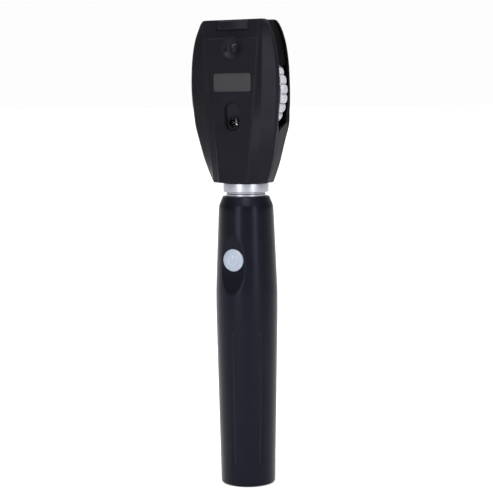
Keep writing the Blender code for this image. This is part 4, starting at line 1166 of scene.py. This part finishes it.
def patient_window():
    radius = high("patient_window").x
    back, front = depths("patient_window")
    profile = fillet(
        [(0.0, back), (radius, back, 0.12 * MM), (radius, front, 0.05 * MM), (0.0, front)], 0.1 * MM, 3
    )
    solid = turned_forward(profile, z=PATIENT.z, steps=96)
    add_piece("front_glass", solid, GLASS, "head", ("patient_window",))


# ------------------------------------------------------------ collar, handle


def collar():
    start = low("collar").z
    body = start + 0.65 * MM
    end = HEAD_LOW - 0.3 * MM
    profile = fillet([
        (7.8 * MM, start, 0.2 * MM),
        (LIP_RADIUS, start, 0.15 * MM),
        (LIP_RADIUS, body - 0.15 * MM, 0.05 * MM),
        (COLLAR_RADIUS - 0.3 * MM, body, 0.15 * MM),
        (COLLAR_RADIUS, body + 0.3 * MM, 0.15 * MM),
        (COLLAR_RADIUS, end - 0.25 * MM),
        (COLLAR_RADIUS - 0.25 * MM, end),
        (9.0 * MM, end),
        (9.0 * MM, HEAD_LOW + 2.0 * MM),
        (10.2 * MM, HEAD_LOW + 2.0 * MM),
        (10.2 * MM, HEAD_LOW + 3.2 * MM),
        (7.8 * MM, HEAD_LOW + 3.2 * MM),
    ], 0.1 * MM, 4, True)
    ring = turned_up(profile, steps=192)
    add_piece("collar_ring", ring, COLLAR_METAL, "collar", ("collar",))


def handle_top_ring():
    start = low("handle_top_ring").z
    end = high("handle_top_ring").z
    profile = fillet([
        (7.5 * MM, start),
        (10.0 * MM, start),
        (10.0 * MM, end - 0.95 * MM, 0.05 * MM),
        (LIP_RADIUS, end - 0.95 * MM),
        (LIP_RADIUS, end, 0.2 * MM),
        (7.5 * MM, end, 0.2 * MM),
    ], 0.1 * MM, 4, True)
    ring = turned_up(profile, steps=192)
    add_piece("top_ring", ring, COLLAR_METAL, "handle", ("handle_top_ring",))


def flute_depth(turn, z):
    """How deep the nearest groove is here; grooves have round ends."""
    pitch = 360.0 / FLUTES
    off = (math.degrees(turn) - FLUTE_OFFSET_DEG + pitch / 2) % pitch - pitch / 2
    across = math.radians(off) * 15.0 * MM
    first = FLUTE_LOW_Z + FLUTE_HALF_WIDTH
    last = FLUTE_HIGH_Z - FLUTE_HALF_WIDTH
    beyond = max(first - z, z - last, 0.0)
    share = math.hypot(across, beyond) / FLUTE_HALF_WIDTH
    if share >= 1.0:
        return 0.0
    return FLUTE_DEPTH * (1 - share * share) ** 0.8


def scooped(radius, turn, z):
    """The radius after the scoop round the button, with a slightly soft edge."""
    if math.cos(turn) < 0.5:
        return radius
    along = z - BUTTON.z
    if abs(along) > 20 * MM:
        return radius
    level = SCOOP_FLOOR + SCOOP_RADIUS - math.sqrt(SCOOP_RADIUS**2 - along**2)
    other = level / math.cos(turn)
    blend = 0.12 * MM
    spread = max(blend - abs(radius - other), 0.0) / blend
    return min(radius, other) - spread * spread * blend / 4


def handle_sleeve():
    """The grip, swept ring by ring so that scoop and grooves lie in one smooth skin."""
    around = 300
    curve = [(z * MM, radius * MM) for radius, z in HANDLE_OUTLINE]
    neck = [(radius * MM, z * MM) for radius, z in HANDLE_NECK]
    foot = fillet([
        (13.4 * MM, 0.3 * MM),
        (13.95 * MM, 0.3 * MM),
        (14.3 * MM, 0.75 * MM, 0.5 * MM),
        (14.4 * MM, 1.5 * MM),
    ], 0.2 * MM, 4)
    rows = list(foot[:-1])
    marks = set()
    for step in range(147):
        marks.add(round(1.5 + step * 0.99, 3))
    for edge in (FLUTE_LOW_Z, FLUTE_HIGH_Z):
        for step in range(-7, 8):
            marks.add(round(edge / MM + step * 0.2, 3))
    for z in sorted(mark for mark in marks if 1.5 <= mark <= 146.7):
        radius = smooth_curve(curve, z * MM)
        rows.append((min(radius, SLEEVE_RADIUS - 0.001 * MM), z * MM))
    shoulder = fillet([
        rows[-1],
        (14.35 * MM, 147.3 * MM, 1.5 * MM),
        (neck[0][0], neck[0][1], 1.0 * MM),
        (neck[1][0], neck[1][1], 0.35 * MM),
        (10.35 * MM, 153.3 * MM),
        (10.35 * MM, 147.5 * MM),
        (11.9 * MM, 147.5 * MM),
        (11.9 * MM, 107.0 * MM),
        (13.4 * MM, 107.0 * MM),
        (13.4 * MM, 0.6 * MM),
    ], 0.1 * MM, 4)
    outer_count = len(rows)
    rows += shoulder[1:]
    rings = []
    for index, (radius, z) in enumerate(rows):
        ring = []
        for turn in turns(around):
            reach = radius
            if index < outer_count:
                reach = scooped(radius - flute_depth(turn, z), turn, z)
            ring.append(forward(reach * math.sin(turn), reach * math.cos(turn), z))
        rings.append(ring)
    bm = skin(rings, capped=False)
    open_edges = [edge for edge in bm.edges if edge.is_boundary]
    bmesh.ops.bridge_loops(bm, edges=open_edges)
    piece = add_piece("grip_sleeve", bm, GRIP, "handle", ("handle_sleeve",), 50.0)
    opening = rod(BUTTON_RADIUS + 0.15 * MM, 5 * MM, 20 * MM)
    cut(piece, turned_forward(opening, z=BUTTON.z, steps=96))
    shade(piece, 50.0)


def button_cap():
    """A low dome with a rolled edge and a fine groove inside it."""
    back = -high("button_cap").y
    front = BUTTON_FACE
    skirt = back + 0.8 * MM
    profile = fillet([
        (0.0, back),
        (1.6 * MM, back),
        (1.6 * MM, skirt),
        (BUTTON_RADIUS, skirt, 0.15 * MM),
        (BUTTON_RADIUS, front - 0.35 * MM, 0.45 * MM),
        (BUTTON_RADIUS - 0.9 * MM, front - 0.06 * MM, 0.3 * MM),
        (BUTTON_RADIUS - 1.6 * MM, front - 0.02 * MM, 0.5 * MM),
        (0.0, front),
    ], 0.1 * MM, 5)
    dome = turned_forward(profile, z=BUTTON.z, steps=128)
    add_piece("button_dome", dome, BUTTON_RUBBER, "button", ("button_cap",))
    face = front - 0.03 * MM
    bar = round_box((0.0, BUTTON.z + 1.3 * MM), 0.75 * MM, 2.6 * MM, 0.36 * MM, 8)
    raised = plate(bar, face - 0.1 * MM, face + 0.025 * MM, 0.02 * MM)
    add_piece("power_bar", raised, ICON, "button", ())
    rings = []
    for step in range(61):
        turn = math.radians(38 + 284 * step / 60)
        ring = []
        for way in turns(8):
            reach = 2.55 * MM + 0.33 * MM * math.cos(way)
            depth = face - 0.02 * MM + 0.045 * MM * math.sin(way)
            ring.append(on_dial(BUTTON.z, reach, turn, depth))
        rings.append(ring)
    add_piece("power_ring", skin(rings), ICON, "button", ())


def bottom_cap():
    radius = high("bottom_cap").x
    top = high("bottom_cap").z
    profile = fillet([
        (0.0, 0.0),
        (9.6 * MM, 0.0),
        (9.7 * MM, 0.12 * MM),
        (10.0 * MM, 0.12 * MM),
        (10.1 * MM, 0.0),
        (radius - 0.35 * MM, 0.0, 0.15 * MM),
        (radius, 0.35 * MM, 0.15 * MM),
        (radius, 0.9 * MM),
        (12.0 * MM, 0.9 * MM),
        (12.0 * MM, 2.3 * MM),
        (radius, 2.3 * MM),
        (radius, top, 0.2 * MM),
        (11.2 * MM, top, 0.2 * MM),
        (11.2 * MM, 2.8 * MM, 0.1 * MM),
        (0.0, 2.8 * MM),
    ], 0.05 * MM, 3)
    piece = add_piece(
        "screw_cap", turned_up(profile, steps=128), GRIP, "bottom_cap", ("bottom_cap",)
    )
    outline = round_box((0.0, 0.0), 16 * MM, 2.2 * MM, 1.0 * MM, 6)
    rings = [[Vector((x, y, z)) for x, y in outline] for z in (-MM, 1.1 * MM)]
    cut(piece, skin(rings))
    shade(piece, 35.0)


def cap_seal():
    profile = arc((12.73 * MM, 1.6 * MM), 0.42 * MM, 0, 345, 23)
    add_piece("seal_ring", turned_up(profile, steps=128), SEAL, "cap_seal", ("cap_seal",))


# ------------------------------------------------------ carried-over CAD nodes


CARRIED = {
    "head_chassis": RECESS,
    "viewing_window": GLASS,
    "condenser_holder": RECESS,
    "condenser_lens": GLASS,
    "focusing_lens": GLASS,
    "optics_tube": RECESS,
    "mirror": MIRROR,
    "mirror_holder": RECESS,
    "aperture_axle": STEEL,
    "wheel_axle": STEEL,
    "wheel_axle_clip": STEEL,
    "detent_spring": STEEL,
    "lamp_base": SINK,
    "lamp_contact": BRASS,
    "lamp_board": BOARD,
    "lamp_emitter": PHOSPHOR,
    "top_insulator": GREY,
    "contact_pin": BRASS,
    "contact_spring": STEEL,
    "button_spring": STEEL,
    "tactile_switch": GREY,
    "circuit_board": BOARD,
    "driver_chip": DIAL_FACE,
    "board_carrier": GREY,
    "battery_contact": BRASS,
    "battery_lower": FOIL,
    "battery_upper": FOIL,
    "cap_spring": STEEL,
}


def finish_carried_nodes():
    """Gives every CAD node that still shows its finished material."""
    lenses = {name: GLASS for name in NODES if name.startswith("wheel_lens_")}
    for name, surface in {**CARRIED, **lenses}.items():
        mesh = NODES[name].data
        mesh.materials.clear()
        mesh.materials.append(surface)


# ------------------------------------------------------------ stage and view


def add_light(name, azimuth, distance, height, width, tall, power, colour=(1, 1, 1), aim=0.13):
    """A soft box that faces the object, at an azimuth in degrees from the front towards +X."""
    light = bpy.data.lights.new(name, "AREA")
    light.shape = "RECTANGLE"
    light.size = width
    light.size_y = tall
    light.energy = power
    light.color = colour
    holder = add_object(name, light)
    turn = math.radians(azimuth)
    holder.location = (distance * math.sin(turn), -distance * math.cos(turn), height)
    facing = Vector((0.0, 0.0, aim)) - holder.location
    holder.rotation_euler = facing.to_track_quat("-Z", "Y").to_euler()


def studio():
    floor = bmesh.new()
    bmesh.ops.create_circle(floor, cap_ends=True, radius=40.0, segments=96)
    mesh = bpy.data.meshes.new("floor")
    floor.to_mesh(mesh)
    floor.free()
    mesh.materials.append(PALE_FLOOR)
    ground = add_object("floor", mesh)
    view = math.degrees(VIEW_AZIMUTH)
    add_light("left_strip", view - 33, 0.9, 0.34, 0.24, 0.6, 3.2)
    add_light("right_strip", view + 36, 0.9, 0.34, 0.2, 0.6, 2.6)
    add_light("high_front", view - 2, 0.75, 1.1, 0.5, 0.4, 5.0)


def sky():
    """A soft surround: pale to look at, bright overhead and behind the object, dim in front."""
    world = bpy.data.worlds.new("studio")
    world.use_nodes = True
    bpy.context.scene.world = world
    tree = world.node_tree
    background = tree.nodes["Background"]
    place = add_node(tree, "ShaderNodeTexCoord").outputs["Generated"]

    def fade(direction, start, end, below, above):
        along = add_node(tree, "ShaderNodeVectorMath", [(0, place)])
        along.operation = "DOT_PRODUCT"
        along.inputs[1].default_value = direction
        step = map_range(tree, along.outputs["Value"], start, end, below, above)
        step.interpolation_type = "SMOOTHSTEP"
        return step.outputs["Result"]

    behind = fade((-math.sin(VIEW_AZIMUTH), math.cos(VIEW_AZIMUTH), 0.0), 0.1, 0.9, FRONT_GLOW, BACK_GLOW)
    above = fade((0.0, 0.0, 1.0), 0.45, 0.9, 0.0, TOP_GLOW)
    total = add_node(tree, "ShaderNodeMath", [(0, behind), (1, above)]).outputs["Value"]
    seen = add_node(tree, "ShaderNodeLightPath").outputs["Is Camera Ray"]
    pick = add_node(tree, "ShaderNodeMix", [("Factor", seen), ("A", total)], B=0.98)
    tree.links.new(pick.outputs["Result"], background.inputs["Strength"])
    set_inputs(background, {"Color": (1.0, 1.0, 1.0, 1.0)})


def camera():
    """Placed and pitched so that the handle's axis and both ends fall where they are seen."""
    lens = bpy.data.cameras.new("camera")
    lens.lens = VIEW_LENS
    lens.sensor_width = 36.0
    holder = add_object("camera", lens)
    holder.location = (
        VIEW_DISTANCE * math.sin(VIEW_AZIMUTH),
        -VIEW_DISTANCE * math.cos(VIEW_AZIMUTH),
        VIEW_HEIGHT,
    )
    level = Matrix.Rotation(VIEW_AZIMUTH, 4, "Z") @ Matrix.Rotation(math.radians(90) + VIEW_PITCH, 4, "X")
    holder.rotation_euler = (level @ Matrix.Rotation(VIEW_ROLL, 4, "Z")).to_euler()
    bpy.context.scene.camera = holder
    bpy.context.scene.view_settings.view_transform = "Standard"


camera()
sky()
studio()
head_front_cover()
head_rear_cover()
for screw in range(1, 5):
    cover_screw(screw)
viewing_dish()
dial_window_frame()
dial_window_lens()
name_plate()
brow_rest()
lens_wheel()
dial_face()
dial_numbers()
aperture_wheel()
patient_window()
collar()
handle_top_ring()
handle_sleeve()
button_cap()
bottom_cap()
cap_seal()
finish_carried_nodes()
